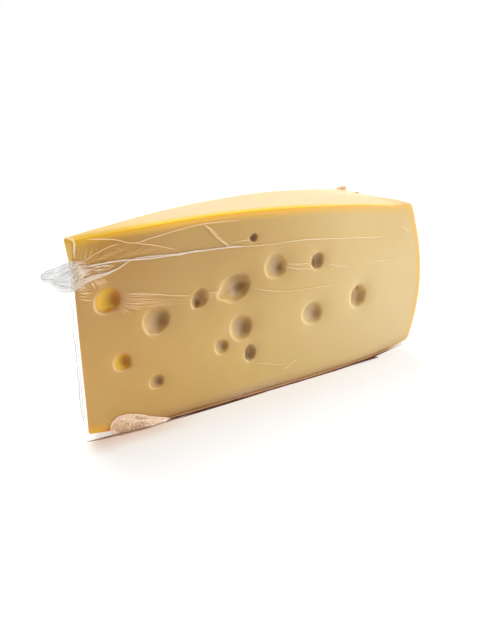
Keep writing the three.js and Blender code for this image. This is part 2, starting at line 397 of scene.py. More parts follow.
REAR_EYES = (
    Eye(31, 33, 7, 7.5, 2.6, slant=(0.1, -0.1)),
    Eye(48, 62, 11, 12, 4, slant=(-0.3, -0.1), stains=(ShadingPatch(-0.8, 0.2, 3.4, 4, 0.6),)),
    Eye(63, 84, 6, 5.5, 3.2, BUBBLE),
    Eye(76, 29, 13, 12.5, 4.6, slant=(-0.3, -0.2), stains=(ShadingPatch(-1.6, 0.2, 4, 4, 0.7),)),
    Eye(98, 73, 9, 10, 4.6, BUBBLE, turn=20),
    Eye(105, 47, 14, 13, 4.8, slant=(-0.3, 0), stains=(ShadingPatch(-1.4, 0.4, 4.4, 4.4, 0.8),)),
    Eye(129, 24, 8.5, 9, 3, slant=(-0.2, -0.2)),
    Eye(136, 61, 15, 14, 5, slant=(-0.35, -0.1), stains=(ShadingPatch(-1.8, 0.2, 4.6, 4.4, 0.8),)),
    Eye(160, 38, 10, 12, 5, BUBBLE, turn=-15, stains=(ShadingPatch(0.2, 0.4, 3, 4, 0.6),)),
    Eye(168, 69, 8, 8.5, 2.8, slant=(-0.2, -0.1)),
)


@dataclass(frozen=True)
class CutFace:
    """One of the two cut planes: where it starts, which way it runs, what it faces.

    Its painted shade and light in the eyes lie where they would be seen from `viewer`, a
    place given along the face, out from it and up.
    """

    start: Pair
    heading: Pair
    inward: Pair
    viewer: Triple
    eyes: tuple[Eye, ...]

    def at(self, along: Points, up: Points, depth: Points) -> Points:
        """Rows of x, y, z for places on the face and depths under it."""
        plan = [self.start[k] + along * self.heading[k] + depth * self.inward[k] for k in (0, 1)]
        return np.column_stack([*plan, up])

    def on(self, points: Points) -> Points:
        """Rows of (along, up) for points of the face."""
        offset = points[:, :2] - np.array(self.start)
        return np.column_stack([offset @ np.array(self.heading), points[:, 2]])

    def seen(self, spots: Points, depth: Points) -> Points:
        """Where the lines of sight to spots at a depth under the face meet it."""
        middle, out = np.array(self.viewer[::2]), self.viewer[1]
        return middle + (spots - middle) * (out / (out + depth))[:, None]


FRONT = CutFace((0.0, 0.0), (1.0, 0.0), (0.0, 1.0), (-91.5, 291.9, 192.9), FRONT_EYES)
REAR = CutFace(
    (0.0, TIP_WIDTH),
    (math.cos(CUT_ANGLE), math.sin(CUT_ANGLE)),
    (math.sin(CUT_ANGLE), -math.cos(CUT_ANGLE)),
    (100.0, 3000.0, 100.0),
    REAR_EYES,
)


@dataclass
class MeshParts:
    """Points, faces and values per point, gathered for one mesh."""

    points: list[Points] = field(default_factory=list)
    faces: list[tuple[int, ...]] = field(default_factory=list)
    values: dict[str, list[Points]] = field(default_factory=dict)
    count: int = 0

    def add(self, points: Points, **values: Points) -> Points:
        """Adds points.

        Args:
            points: rows of x, y, z in the wedge's millimetres.
            **values: one value per point, by name; a name left out counts as 0.

        Returns:
            The indices of the new points.
        """
        for name in dict.fromkeys([*self.values, *values]):
            known = self.values.setdefault(name, [np.zeros(self.count)])
            known.append(values.get(name, np.zeros(len(points))))
        self.points.append(points)
        start = self.count
        self.count += len(points)
        return np.arange(start, self.count)

    def strip(self, first: Points, second: Points, closed: bool) -> None:
        """Adds the quads between two rows of points.

        Args:
            first: indices of the first row.
            second: indices of the second row.
            closed: whether the last point of a row is joined to its first.
        """
        count = len(first) if closed else len(first) - 1
        for i in range(count):
            j = (i + 1) % len(first)
            self.faces.append((int(first[i]), int(first[j]), int(second[j]), int(second[i])))

    def fan(self, ring: Points, centre: int) -> None:
        """Closes a ring with triangles to one point."""
        for i in range(len(ring)):
            self.faces.append((int(ring[i]), int(ring[(i + 1) % len(ring)]), centre))

    def sheet(self, grid: Points, wall: float) -> None:
        """Adds a thin closed sheet round a grid of points.

        Args:
            grid: rows by columns of x, y, z.
            wall: thickness of the sheet.
        """
        rows, columns, _ = grid.shape
        normal = np.cross(np.gradient(grid, axis=0), np.gradient(grid, axis=1))
        normal *= wall / 2 / np.linalg.norm(normal, axis=2, keepdims=True)
        sides = []
        for moved in (grid - normal, grid + normal):
            sides.append(self.add(moved.reshape(-1, 3)).reshape(rows, columns))
            for first, second in zip(sides[-1], sides[-1][1:]):
                self.strip(first, second, closed=False)
        for edge in ((0,), (-1,), (slice(None), 0), (slice(None), -1)):
            self.strip(sides[0][edge], sides[1][edge], closed=False)

    def built(self, name: str) -> Piece:
        """Makes the mesh object, closed and with its faces pointing outwards.

        Args:
            name: name of the object and its mesh.

        Returns:
            The object, in the part's frame, with smooth shading.
        """
        mesh = bpy.data.meshes.new(name)
        points = placed(np.vstack(self.points))
        mesh.from_pydata(points.tolist(), [], self.faces)
        for label, columns in self.values.items():
            attribute = mesh.attributes.new(label, "FLOAT", "POINT")
            attribute.data.foreach_set("value", np.concatenate(columns).astype(np.float32))
        shape = bmesh.new()
        shape.from_mesh(mesh)
        bmesh.ops.recalc_face_normals(shape, faces=shape.faces)
        shape.to_mesh(mesh)
        shape.free()
        mesh.shade_smooth()
        mesh.update()
        return linked(name, mesh)


def linked(name: str, data: bpy.types.ID | None) -> Piece:
    """A new object in the scene.

    Args:
        name: its name.
        data: its mesh, curve, light or camera.

    Returns:
        The object.
    """
    thing = bpy.data.objects.new(name, data)
    bpy.context.scene.collection.objects.link(thing)
    return thing


@dataclass(frozen=True)
class WedgeSkin:
    """The wedge's surface: a band round its section, and two cut faces with eyes.

    The cheese's own surface, or where `is_film` is set, that of the film on it.
    """

    wheel: Wheel
    is_film: bool
    grow: float
    lift: float
    edge_round: float
    loop_spacing: float
    across: int
    face_spacing: float
    ring_points: int
    ring_steps: int
    unevenness: float = 0.14
    shift_end: float = 60.0
    tip_levels: tuple[float, ...] = (50, 72, 84, 99)
    tip_slant: tuple[float, ...] = (6.0, 4.2, 1.6, -0.8)
    front_lean: Triple = (73, 26, 1.2)
    cut_offsets: Pair = (0.03, 0.88)
    arc_starts: Pair = (15, 70)
    edge_steps: int = 5
    dip: float = 0.065
    dip_reach: float = 1.5
    lip_light_heading: float = 215.0
    lip_width: float = 0.08
    shade_middle: Pair = (0.9, 0.1)
    shade_reach: Pair = (0.56, 0.78)
    top_fade: Pair = (60, 92)
    foot_fade: Pair = (3, 30)
    rim_crest: float = 2.0
    crest_end: float = 0.62
    crest_along: Pair = (178, 193)
    crest_up: Pair = (78, 87)

    def tip_shift(self, radius: Points, height: Points) -> tuple[Points, Points]:
        """How far the front and rear edges lie from a section through the axis.

        Args:
            radius: radius in the section.
            height: height in the section.

        Returns:
            The shift along the front cut, and that along the rear cut.
        """
        low, over, lean = self.front_lean
        front = lean * np.clip((height - low) / over, 0, 1)
        rear = np.interp(height, self.tip_levels, self.tip_slant) / math.cos(CUT_ANGLE)
        fade = smooth(0, self.shift_end, radius)
        front_end, rear_end = self.cut_offsets
        return front * (1 - fade) - front_end * fade, rear * (1 - fade) - rear_end * fade

    def row(self, loop: Points, share: float, offset: float) -> Points:
        """One row of the band, at a share of the way from the front to the rear cut.

        Args:
            loop: rows of (radius, height).
            share: 0 at the front cut, 1 at the rear cut.
            offset: distance into the wedge from the nearer cut.

        Returns:
            Rows of x, y, z.
        """
        radius, height = loop.T
        front_shift, rear_shift = self.tip_shift(radius, height)
        front = FRONT.at(radius + front_shift, height, np.zeros_like(radius))[:, :2]
        rear = REAR.at(radius + rear_shift, height, np.zeros_like(radius))[:, :2]
        chord = rear - front
        length = np.linalg.norm(chord, axis=1)[:, None]
        straight = front + chord * share + chord / length * (offset * (1 - 2 * share))
        axis = np.array([0.0, TIP_WIDTH / 2])
        a, b = (front - axis).T, (rear - axis).T
        far = np.hypot(*a) * (1 - share) + np.hypot(*b) * share
        turn = np.arctan2(a[1], a[0]) * (1 - share) + np.arctan2(b[1], b[0]) * share
        arc = axis + np.column_stack([np.cos(turn), np.sin(turn)]) * far[:, None]
        bulge = arc - (front + chord * share)
        plan = straight + bulge * smooth(*self.arc_starts, radius)[:, None]
        reach = np.linalg.norm(plan - axis, axis=1)
        spread = np.clip(radius, 0, None)
        top, foot = self.wheel.top, self.wheel.foot
        top_fix = (top(reach) - top(spread)) * smooth(*self.top_fade, height)
        foot_fix = (foot(reach) - foot(spread)) * (1 - smooth(*self.foot_fade, height))
        crest = self.rim_crest * (1 - smooth(0.0, self.crest_end, np.array(share)))
        crest = crest * smooth(*self.crest_along, radius) * smooth(*self.crest_up, height)
        return np.column_stack([plan, height + top_fix + foot_fix + crest])

    def settled(self, points: Points) -> Points:
        """Points with the unevenness of the cut and the gap under the film added.

        Args:
            points: rows of x, y, z.

        Returns:
            The moved points.
        """
        wave = self.unevenness * np.column_stack(
            [swells(points, length, seed) for length, seed in ((60, 1), (34, 2), (46, 3))]
        )
        wave[:, 2] *= smooth(6, 30, points[:, 2])
        rise = self.lift * (1 - smooth(0, 25, points[:, 2]))
        return points + wave + np.column_stack([np.zeros((len(points), 2)), rise])

    def band(self, parts: MeshParts) -> tuple[tuple[Points, Points], tuple[Points, Points]]:
        """Adds the band from the front cut to the rear cut.

        Args:
            parts: what the mesh is gathered in.

        Returns:
            For its first and last rows, their indices and their points before settling.
        """
        base = self.wheel.outline(self.loop_spacing)
        turns = np.linspace(0, math.pi / 2, self.edge_steps)
        edges = []
        for turn in turns:
            inset = self.edge_round * (1 - math.sin(turn))
            offset = self.edge_round * (1 - math.cos(turn)) - self.grow
            edges.append((grown(base, self.grow - inset), offset))
        inner = grown(base, self.grow)
        shares = np.linspace(0, 1, self.across + 2)[1:-1]
        rows = [self.row(loop, 0, offset) for loop, offset in edges]
        rows += [self.row(inner, share, self.edge_round - self.grow) for share in shares]
        rows += [self.row(loop, 1, offset) for loop, offset in edges[::-1]]
        indices = [parts.add(self.settled(points)) for points in rows]
        for first, second in zip(indices, indices[1:]):
            parts.strip(first, second, closed=True)
        return (indices[0], rows[0]), (indices[-1], rows[-1])

    def soft_dip(self, face: CutFace, spots: Points) -> Points:
        """Depth of the shallow hollow round each eye, at places on a face.

        Args:
            face: which cut.
            spots: rows of (along, up).

        Returns:
            One depth per place.
        """
        depth = np.zeros(len(spots))
        for eye in face.eyes:
            side, rise = eye.offset(spots)
            side, rise = side - 0.6 * eye.slant[0], rise + 0.6 * eye.slant[1]
            fall = np.exp(-((np.hypot(side, rise) / self.dip_reach) ** 4))
            depth += self.dip * min(eye.wide, eye.tall) * fall
        return depth

    def shade(self, face: CutFace, spots: Points) -> Points:
        """How much painted shade darkens the paste at places beside the eyes.

        Args:
            face: which cut.
            spots: rows of (along, up).

        Returns:
            One share per place, from 0 to 1.
        """
        total = np.zeros(len(spots))
        for eye in face.eyes:
            side, rise = eye.offset(spots)
            side = side * math.copysign(1.0, eye.slant[0])
            side = (side - self.shade_middle[0]) / self.shade_reach[0]
            rise = (rise - self.shade_middle[1]) / self.shade_reach[1]
            total += np.exp(-(side**2) - rise**2)
        return np.clip(total, 0, 1)

    def surface(self, face: CutFace, spots: Points, depth: Points) -> Points:
        """Points of the skin at places on a cut, `depth` under it besides the soft hollows."""
        under = depth + self.soft_dip(face, spots) - self.grow
        return self.settled(face.at(spots[:, 0], spots[:, 1], under))

    def profile(self, form: EyeForm) -> Points:
        """The way into an eye, in smooth steps.

        Args:
            form: the eye's form.

        Returns:
            Rows of (share of the eye's radius, share of its depth), from lip to bottom.
        """
        knots = np.array(form.value)
        place = np.linspace(0, len(knots) - 1, self.ring_steps + 1)
        base = np.clip(place.astype(int), 0, len(knots) - 2)
        ends = padded(knots)
        return eased(*(ends[base + k] for k in range(4)), (place - base)[:, None])

    def eye_ring(self, eye: Eye, share: float) -> Points:
        """Places on the face of one ring of an eye.

        Args:
            eye: which eye.
            share: the ring's radius as a share of the eye's.

        Returns:
            Rows of (along, up).
        """
        angle = np.linspace(0, 2 * math.pi, self.ring_points, endpoint=False)
        seed = eye.along * 1.7 + eye.up * 0.9
        uneven = 0.045 * np.sin(2 * angle + seed) + 0.03 * np.sin(3 * angle + 2.1 * seed)
        uneven += 0.012 * np.sin(7 * angle + 1.3 * seed)
        away = (angle - math.radians(eye.pinch_at) + math.pi) % (2 * math.pi) - math.pi
        uneven += eye.pinch * np.exp(-((away / 0.3) ** 2)) - 0.25 * eye.pinch
        fade = 1 - smooth(1.0, 1.25, np.array([share]))
        reach = share * (1 + uneven * fade)
        drift = max(0.0, 1 - share)
        side = (reach * np.cos(angle) + eye.slant[0] * drift) * eye.wide / 2
        rise = (reach * np.sin(angle) + eye.slant[1] * drift) * eye.tall / 2
        turn = math.radians(-eye.turn)
        along = eye.along + side * math.cos(turn) - rise * math.sin(turn)
        up = eye.up + side * math.sin(turn) + rise * math.cos(turn)
        return np.column_stack([along, up])

    def between_loops(self, spots: Points, bound: Points, rings: list[Points]) -> Points:
        """Whether each spot lies inside a face's outline and outside its eyes."""
        return inside(spots, bound) & ~np.any([inside(spots, ring) for ring in rings], axis=0)

    def flat_spots(self, bound: Points, rings: list[Points]) -> Points:
        """Even places on a face, outside its eyes and clear of all outlines.

        Args:
            bound: the face's outline.
            rings: the eyes' outlines.

        Returns:
            Rows of (along, up).
        """
        step = self.face_spacing
        low, high = bound.min(axis=0), bound.max(axis=0)
        columns = np.arange(low[0] + step / 2, high[0], step)
        lines = np.arange(low[1] + step / 2, high[1], step * 0.87)
        grid = np.array(
            [(x + (step / 2 if j % 2 else 0), z) for j, z in enumerate(lines) for x in columns]
        )
        walls = np.vstack([bound, *rings])
        grid = grid[self.between_loops(grid, bound, rings)]
        gaps = np.array([np.min(np.sum((walls - spot) ** 2, axis=1)) for spot in grid])
        return grid[gaps > (0.55 * step) ** 2]

    def cap(self, parts: MeshParts, face: CutFace, edge: Points, edge_points: Points) -> None:
        """Adds one cut face with its eyes.

        Args:
            parts: what the mesh is gathered in.
            face: which cut.
            edge: indices of the band's row that bounds it.
            edge_points: that row's points, before they were settled.
        """
        bound = face.on(edge_points)
        rings = [self.eye_ring(eye, eye.form.value[0][0]) for eye in face.eyes]
        grid = self.flat_spots(bound, rings)
        indices = [edge]
        for loose in [*rings, grid]:
            flat = self.surface(face, loose, np.zeros(len(loose)))
            indices.append(parts.add(flat, shade=self.shade(face, loose)))
        names = np.concatenate(indices)
        spots = np.vstack([bound, *rings, grid])
        loops, start = [], 0
        for ring in [bound, *rings]:
            loops += [(start + i, start + (i + 1) % len(ring)) for i in range(len(ring))]
            start += len(ring)
        found = delaunay_2d_cdt([Vector(spot) for spot in spots], loops, [], 1, 1e-6, True)
        origins = [group[0] if group else -1 for group in found[3]]
        triangles = np.array([[origins[k] for k in triangle] for triangle in found[2]])
        solid = self.between_loops(spots[triangles].mean(axis=1), bound, rings)
        parts.faces += [tuple(int(k) for k in names[triangle]) for triangle in triangles[solid]]
        for eye, outer in zip(face.eyes, indices[1:-1]):
            self.hollow(parts, face, eye, outer)

    def patched(self, spots: Points, patches: Iterable[ShadingPatch]) -> Points:
        """How strongly the patches of an eye show at places from its centre.

        Args:
            spots: rows of (along, up), from the eye's centre.
            patches: the patches.

        Returns:
            One strength per place.
        """
        total = np.zeros(len(spots))
        for patch in patches:
            side, rise = patch.offset(spots)
            fall = patch.strength * np.exp(-(((side**2 + rise**2) ** 1.5) * 0.7))
            total = np.maximum(total, fall)
        return total

    def hollow(self, parts: MeshParts, face: CutFace, eye: Eye, outer: Points) -> None:
        """Adds the inside of one eye.

        Args:
            parts: what the mesh is gathered in.
            face: the cut that opened it.
            eye: which eye.
            outer: indices of the ring that bounds it.
        """
        last = outer
        follow = eye.form.film_share if self.is_film else 1.0
        for share, depth in self.profile(eye.form)[1:]:
            centre = share < 1e-4
            spots = self.eye_ring(eye, share)[: 1 if centre else None]
            deep = np.full(len(spots), depth)
            seen = face.seen(spots, deep * eye.deep)
            # Painted shade and painted light on the eye's walls, placed where the face's viewer
            # sees them, and a painted highlight on the lip, strongest on the side facing the
            # light.
            stain, gleam = (
                self.patched(seen - [eye.along, eye.up], patches)
                for patches in (eye.stains, eye.gleams)
            )
            heading = np.arctan2(spots[:, 1] - eye.up, spots[:, 0] - eye.along)
            facing = np.clip(np.cos(heading - math.radians(self.lip_light_heading)), 0, 1)
            lip = math.exp(-(((share - 1.0) / self.lip_width) ** 2)) * (0.1 + 0.9 * facing)
            shade = self.shade(face, spots)
            ring = parts.add(
                self.surface(face, spots, deep * eye.deep * follow),
                hollow=deep,
                stain=stain,
                lip=lip,
                gleam=gleam * (1 - stain),
                shade=shade,
                veil=deep * eye.veil * (1 - stain) * (1 - shade),
            )
            if centre:
                parts.fan(last, int(ring[0]))
            else:
                parts.strip(last, ring, closed=True)
            last = ring

    def parts(self) -> MeshParts:
        """The whole surface as points and faces.

        Returns:
            What its mesh is built from.
        """
        parts = MeshParts()
        first, last = self.band(parts)
        self.cap(parts, FRONT, *first)
        self.cap(parts, REAR, *last)
        return parts


def inside(spots: Points, loop: Points) -> np.ndarray:
    """Whether each spot lies inside a closed loop.

    Args:
        spots: rows of two coordinates.
        loop: rows of two coordinates.

    Returns:
        One truth value per spot.
    """
    result = np.zeros(len(spots), bool)
    x, y = spots[:, 0], spots[:, 1]
    for (x0, y0), (x1, y1) in zip(loop, np.roll(loop, -1, axis=0)):
        if y0 == y1:
            continue
        crosses = (y0 > y) != (y1 > y)
        result ^= crosses & (x < (x1 - x0) * (y - y0) / (y1 - y0) + x0)
    return result


class Tree:
    """A tree that is built node by node."""

    tree: bpy.types.NodeTree

    def node(self, kind: str, settings: Settings = None, inputs: Inputs = None) -> bpy.types.Node:
        """Adds one node.

        Args:
            kind: the node's type.
            settings: its properties, which are set first.
            inputs: numbers, sockets or expressions, by the socket's name or index.

        Returns:
            The node.
        """
        made = self.tree.nodes.new(kind)
        for name, value in (settings or {}).items():
            setattr(made, name, value)
        for name, value in (inputs or {}).items():
            socket = made.inputs[name]
            source = value.socket if isinstance(value, Value) else value
            if isinstance(source, bpy.types.NodeSocket):
                self.tree.links.new(source, socket)
            elif socket.type == "RGBA" and len(source) == 3:
                socket.default_value = (*source, 1.0)
            else:
                socket.default_value = source
        return made


class ShaderTree(Tree):
    """The node tree of one material or world, built from expressions."""

    def __init__(self, owner: bpy.types.Material | bpy.types.World) -> None:
        """Starts an empty tree.

        Args:
            owner: the material or world that it belongs to.
        """
        owner.use_nodes = True
        self.owner = owner
        self.tree = owner.node_tree
        self.tree.nodes.clear()

    def value(
        self, kind: str, output: str | int, settings: Settings = None, inputs: Inputs = None
    ) -> "Value":
        """Adds one node and returns one of its outputs as a value."""
        return Value(self, self.node(kind, settings, inputs).outputs[output])

    def attribute(self, name: str) -> "Value":
        """A value stored on the piece's points."""
        settings = {"attribute_type": "GEOMETRY", "attribute_name": name}
        return self.value("ShaderNodeAttribute", "Fac", settings)

    def place(self) -> tuple["Value", "Value", "Value"]:
        """Where a point lies.

        Returns:
            Along, across and up in the wedge's own millimetres.
        """
        where = self.value("ShaderNodeTexCoord", "Object")
        split = self.node("ShaderNodeSeparateXYZ", inputs={0: where})
        x, y, z = (Value(self, socket) for socket in split.outputs)
        return x / MM + REST_ALONG, y / MM + REST_ACROSS, z / MM

    def noise(self, scale: Sequence[float], detail: float = 3.0, rough: float = 0.5) -> "Value":
        """Soft noise, drawn out along the part's axes.

        Args:
            scale: how many grains there are in a metre along X, Y and Z.
            detail: how many finer layers it has.
            rough: how strong those are.

        Returns:
            A value from 0 to 1.
        """
        where = self.value("ShaderNodeTexCoord", "Object")
        sizes = {"Vector": where, "Scale": Vector(scale)}
        drawn = self.value("ShaderNodeMapping", "Vector", {"vector_type": "POINT"}, sizes)
        inputs = {"Vector": drawn, "Scale": 1.0, "Detail": detail, "Roughness": rough}
        return self.value("ShaderNodeTexNoise", "Fac", {"noise_dimensions": "3D"}, inputs)

    def blend(self, share: "Value | float", first: object, second: object) -> "Value":
        """A colour between two others, by share of the second."""
        settings = {"data_type": "RGBA", "clamp_factor": True}
        return self.value("ShaderNodeMix", 2, settings, {0: share, 6: first, 7: second})

    def layered(self, base: object, *layers: tuple["Value | float", object]) -> object:
        """A colour with others laid over it, one after the other.

        Args:
            base: the colour underneath.
            *layers: for each colour on it, the share that it covers and the colour.

        Returns:
            The colour that comes of it.
        """
        for share, colour in layers:
            base = self.blend(share, base, colour)
        return base

    def bump(self, height: "Value", distance: float, strength: float = 1.0) -> "Value":
        """A normal from a height in millimetres."""
        inputs = {"Height": height, "Distance": distance * MM, "Strength": strength}
        return self.value("ShaderNodeBump", "Normal", None, inputs)

    def mixed(self, share: "Value | float", first: object, second: object) -> "Value":
        """A shader between two others, by share of the second."""
        return self.value("ShaderNodeMixShader", 0, None, {0: share, 1: first, 2: second})

    def finish(self, shader: "Value", kind: str = "ShaderNodeOutputMaterial") -> None:
        """Sends a shader to the tree's output."""
        self.node(kind, inputs={"Surface": shader})


SMOOTH_STEP = {"interpolation_type": "SMOOTHSTEP"}


def joined(operation: str, flipped: bool = False) -> Callable[["Value", object], "Value"]:
    """The method that joins a value and another operand by a Math node.

    Args:
        operation: the node's operation.
        flipped: whether the other operand comes first.

    Returns:
        The method.
    """

    def method(self: "Value", other: object) -> "Value":
        """The result of the operation on both operands."""
        return self.math(operation, *((other, self) if flipped else (self, other)))

    return method


@dataclass(frozen=True)
class Value:
    """A number, colour or shader in a tree: a socket, or what an expression on it gives."""

    tree: ShaderTree
    socket: bpy.types.NodeSocket

    def math(self, operation: str, *operands: object) -> "Value":
        """Adds a Math node with these operands."""
        inputs = dict(enumerate(operands))
        return self.tree.value("ShaderNodeMath", 0, {"operation": operation}, inputs)

    __add__, __radd__ = joined("ADD"), joined("ADD", flipped=True)
    __sub__, __rsub__ = joined("SUBTRACT"), joined("SUBTRACT", flipped=True)
    __mul__, __rmul__ = joined("MULTIPLY"), joined("MULTIPLY", flipped=True)
    __truediv__, __rtruediv__ = joined("DIVIDE"), joined("DIVIDE", flipped=True)
    __pow__ = joined("POWER")
    least = joined("MINIMUM")
    most = joined("MAXIMUM")

    def step(self, low: float, high: float) -> "Value":
        """Smooth step of the value, from 0 at `low` to 1 at `high`."""
        span = {"Value": self, "From Min": low, "From Max": high}
        return self.tree.value("ShaderNodeMapRange", "Result", SMOOTH_STEP, span)


def new_tree(name: str) -> ShaderTree:
    """A material's empty tree."""
    return ShaderTree(bpy.data.materials.new(name))


@dataclass(frozen=True)
class CheeseFinish:
    """Semi-hard cheese: deeper at the tip, creamy at the rind, yellow under the rind.

    Some of its colour is painted light and shade: light from the right on the rind end,
    shade high towards the tip, along the foot and in and beside the eyes, a glow of light
    through the thin tip and under it, and painted light in the eyes' gleams and on their lips.
    """

    wheel: Wheel
    paste_tip: Colour = (0.62, 0.34, 0.055)
    paste_middle: Colour = (0.68, 0.46, 0.125)
    paste_rind: Colour = (0.755, 0.57, 0.255)
    paste_upper_shade: Colour = (0.49, 0.28, 0.05)
    paste_shaded: Colour = (0.53, 0.30, 0.075)
    paste_top_shade: Colour = (0.45, 0.215, 0.02)
    under_rind: Colour = (0.87, 0.49, 0.003)
    under_tip: Colour = (0.70, 0.42, 0.015)
    under_side: Colour = (0.80, 0.50, 0.05)
    foot_shade: Colour = (0.53, 0.29, 0.10)
    rind: Colour = (0.88, 0.61, 0.345)
    rind_edge: Colour = (0.93, 0.58, 0.02)
    rind_tip: Colour = (0.62, 0.36, 0.015)
    rind_side: Colour = (0.68, 0.50, 0.25)
    tip_end: Colour = (0.80, 0.46, 0.02)
    hollow: Colour = (0.60, 0.38, 0.15)
    lip: Colour = (0.95, 0.80, 0.50)
    gleam: Colour = (0.66, 0.50, 0.33)
    stain: Colour = (0.29, 0.135, 0.03)
    glow: Colour = (0.78, 0.47, 0.045)
    glow_shade: Colour = (0.47, 0.16, 0.005)
    foot_bounce_glow: Colour = (0.85, 0.17, 0.01)

    def made(self) -> bpy.types.Material:
        """Builds the material: the paste, its edges, its eyes, and the rind over them.

        Returns:
            The material.
        """
        tree = new_tree("cheese_paste")
        along, across, up = tree.place()
        wheel = self.wheel
        reach = (along * along + (across - TIP_WIDTH / 2) * (across - TIP_WIDTH / 2)) ** 0.5
        top, side = wheel.top(reach), wheel.side(up)
        tip_foot = (1 - reach / wheel.flat_from).most(0) ** 2
        rind_foot = ((reach - wheel.flat_to) / (wheel.radius - wheel.flat_to)).most(0) ** 2
        foot = wheel.tip_lift * tip_foot + wheel.rind_lift * rind_foot

        cloud = tree.noise((45, 45, 45), 3, 0.55)
        fine = tree.noise((260, 260, 420), 3, 0.6)
        near = along.step(60, 0)
        # Painted shade: darker high on the front towards the tip.
        upper_shade_strength = 0.78 - along.step(16, 0) * up.step(76, 90) * 0.5
        upper_shade = up.step(24, 84) * along.step(165, 60) * upper_shade_strength
        deep = up.step(62, 90) * near * (1 - along.step(18, 1) * 0.95)
        # Deeper at the tip and creamier at the rind, partly the paste's own colour and partly
        # painted light from the right; uneven in tone; painted shade high towards the tip; nearer
        # the middle colour high by the rind; lighter low by the tip, painted light from the floor.
        paste = tree.layered(
            self.paste_tip,
            (along.step(-5, 95), self.paste_middle),
            (along.step(70, 195), self.paste_rind),
            ((cloud - 0.5) * 0.5, self.paste_rind),
            ((0.5 - fine) * 0.35, self.paste_tip),
            (upper_shade, self.paste_upper_shade),
            (up.step(50, 88) * along.step(130, 180) * 0.4, self.paste_middle),
            (up.step(60, 10) * along.step(40, 0) * 0.4, self.paste_middle),
            (deep * 0.75, self.paste_top_shade),
        )

        crest = along.step(178, 193) * across.step(34, 0) * 2.0
        gap = top + crest - up
        under_top = (gap * (1 + near * 0.5) + (cloud - 0.5) * 2.0).step(5.6, 0.6)
        under_side = (side - reach + (cloud - 0.5) * 1.4).step(4.8, 1.8)
        # Along the foot: yellow by the tip, then brown painted shade, weaker towards the rind.
        foot_shade = (up - foot).step(7.5, 1.6) * (1 - along.step(90, 170) * 0.6)
        golden = 0.97 - along * 0.0011 - near * 0.08 - along.step(110, 185) * 0.32
        paste = tree.layered(
            paste,
            (foot_shade * 0.75, tree.blend(along.step(14, 36), self.under_rind, self.foot_shade)),
            (under_side * 0.62, self.under_side),
            (under_top * golden, tree.blend(near, self.under_rind, self.under_tip)),
        )

        tip = along.step(30, 22)
        warm = along.step(5.5, 10) * along.step(19, 14) * up.step(6.0, 3.2)
        # In the eyes: darker and greyer with depth, partly the walls' own colour and partly
        # painted shade, and in the tip's eyes a painted glow of light through the thin paste;
        # painted shade beside their far sides and on their walls, painted light in their gleams
        # and a painted highlight on their lips. Low on the front by the tip, a painted glow of
        # light bounced under the raised tip.
        paste = tree.layered(
            paste,
            (
                tree.attribute("hollow").step(0.05, 0.5) * 0.85,
                tree.blend(tip, self.hollow, self.glow),
            ),
            (tree.attribute("shade") * (0.46 - 0.2 * tip), self.paste_shaded),
            (tree.attribute("gleam"), self.gleam),
            (tree.attribute("stain"), tree.blend(tip, self.stain, self.glow_shade)),
            (tree.attribute("lip") * 0.48, self.lip),
            (warm * (1 - across.step(0.5, 3.0)) * 0.85, self.foot_bounce_glow),
        )

        rear = (across - TIP_WIDTH - along * math.tan(CUT_ANGLE)) * -math.cos(CUT_ANGLE)
        outside = gap.step(0.9, 0.1).most((side - reach).step(0.9, 0.1))
        outside = outside.most((up - foot).step(1.2, 0.3))
        pale = across.step(0.4 + near * 2.4, 7.0 + near * 2.5)
        pale = pale.least(rear.step(0.2, 2.0)).most(along.step(182, 192))
        coat = tree.layered(
            tree.blend(near.step(0.1, 0.9), self.rind_edge, self.rind_tip),
            (along.step(90, 180) * 0.5, self.rind),
            (pale * (1 - near * 0.5), self.rind),
            (along.step(182, 191), self.rind_side),
        )
        end = across.step(0.4, 1.4) * along.step(6.0, 5.0) * gap.step(0.8, 2.0)
        colour = tree.layered(paste, (outside, coat), (end * 0.9, self.tip_end))

        pits = tree.noise((900, 900, 900), 2, 0.5)
        inputs = {
            "Base Color": colour,
            "Roughness": 0.42 + 0.2 * fine,
            "Subsurface Weight": 0.55,
            "Subsurface Radius": Vector((1.0, 0.5, 0.18)),
            "Subsurface Scale": 0.0035,
            "Specular IOR Level": 0.2,
            "Normal": tree.bump(fine * 0.5 + pits * 0.25, 0.07, 0.4),
        }
        walk = {"subsurface_method": "RANDOM_WALK"}
        tree.finish(tree.value("ShaderNodeBsdfPrincipled", 0, walk, inputs))
        return tree.owner


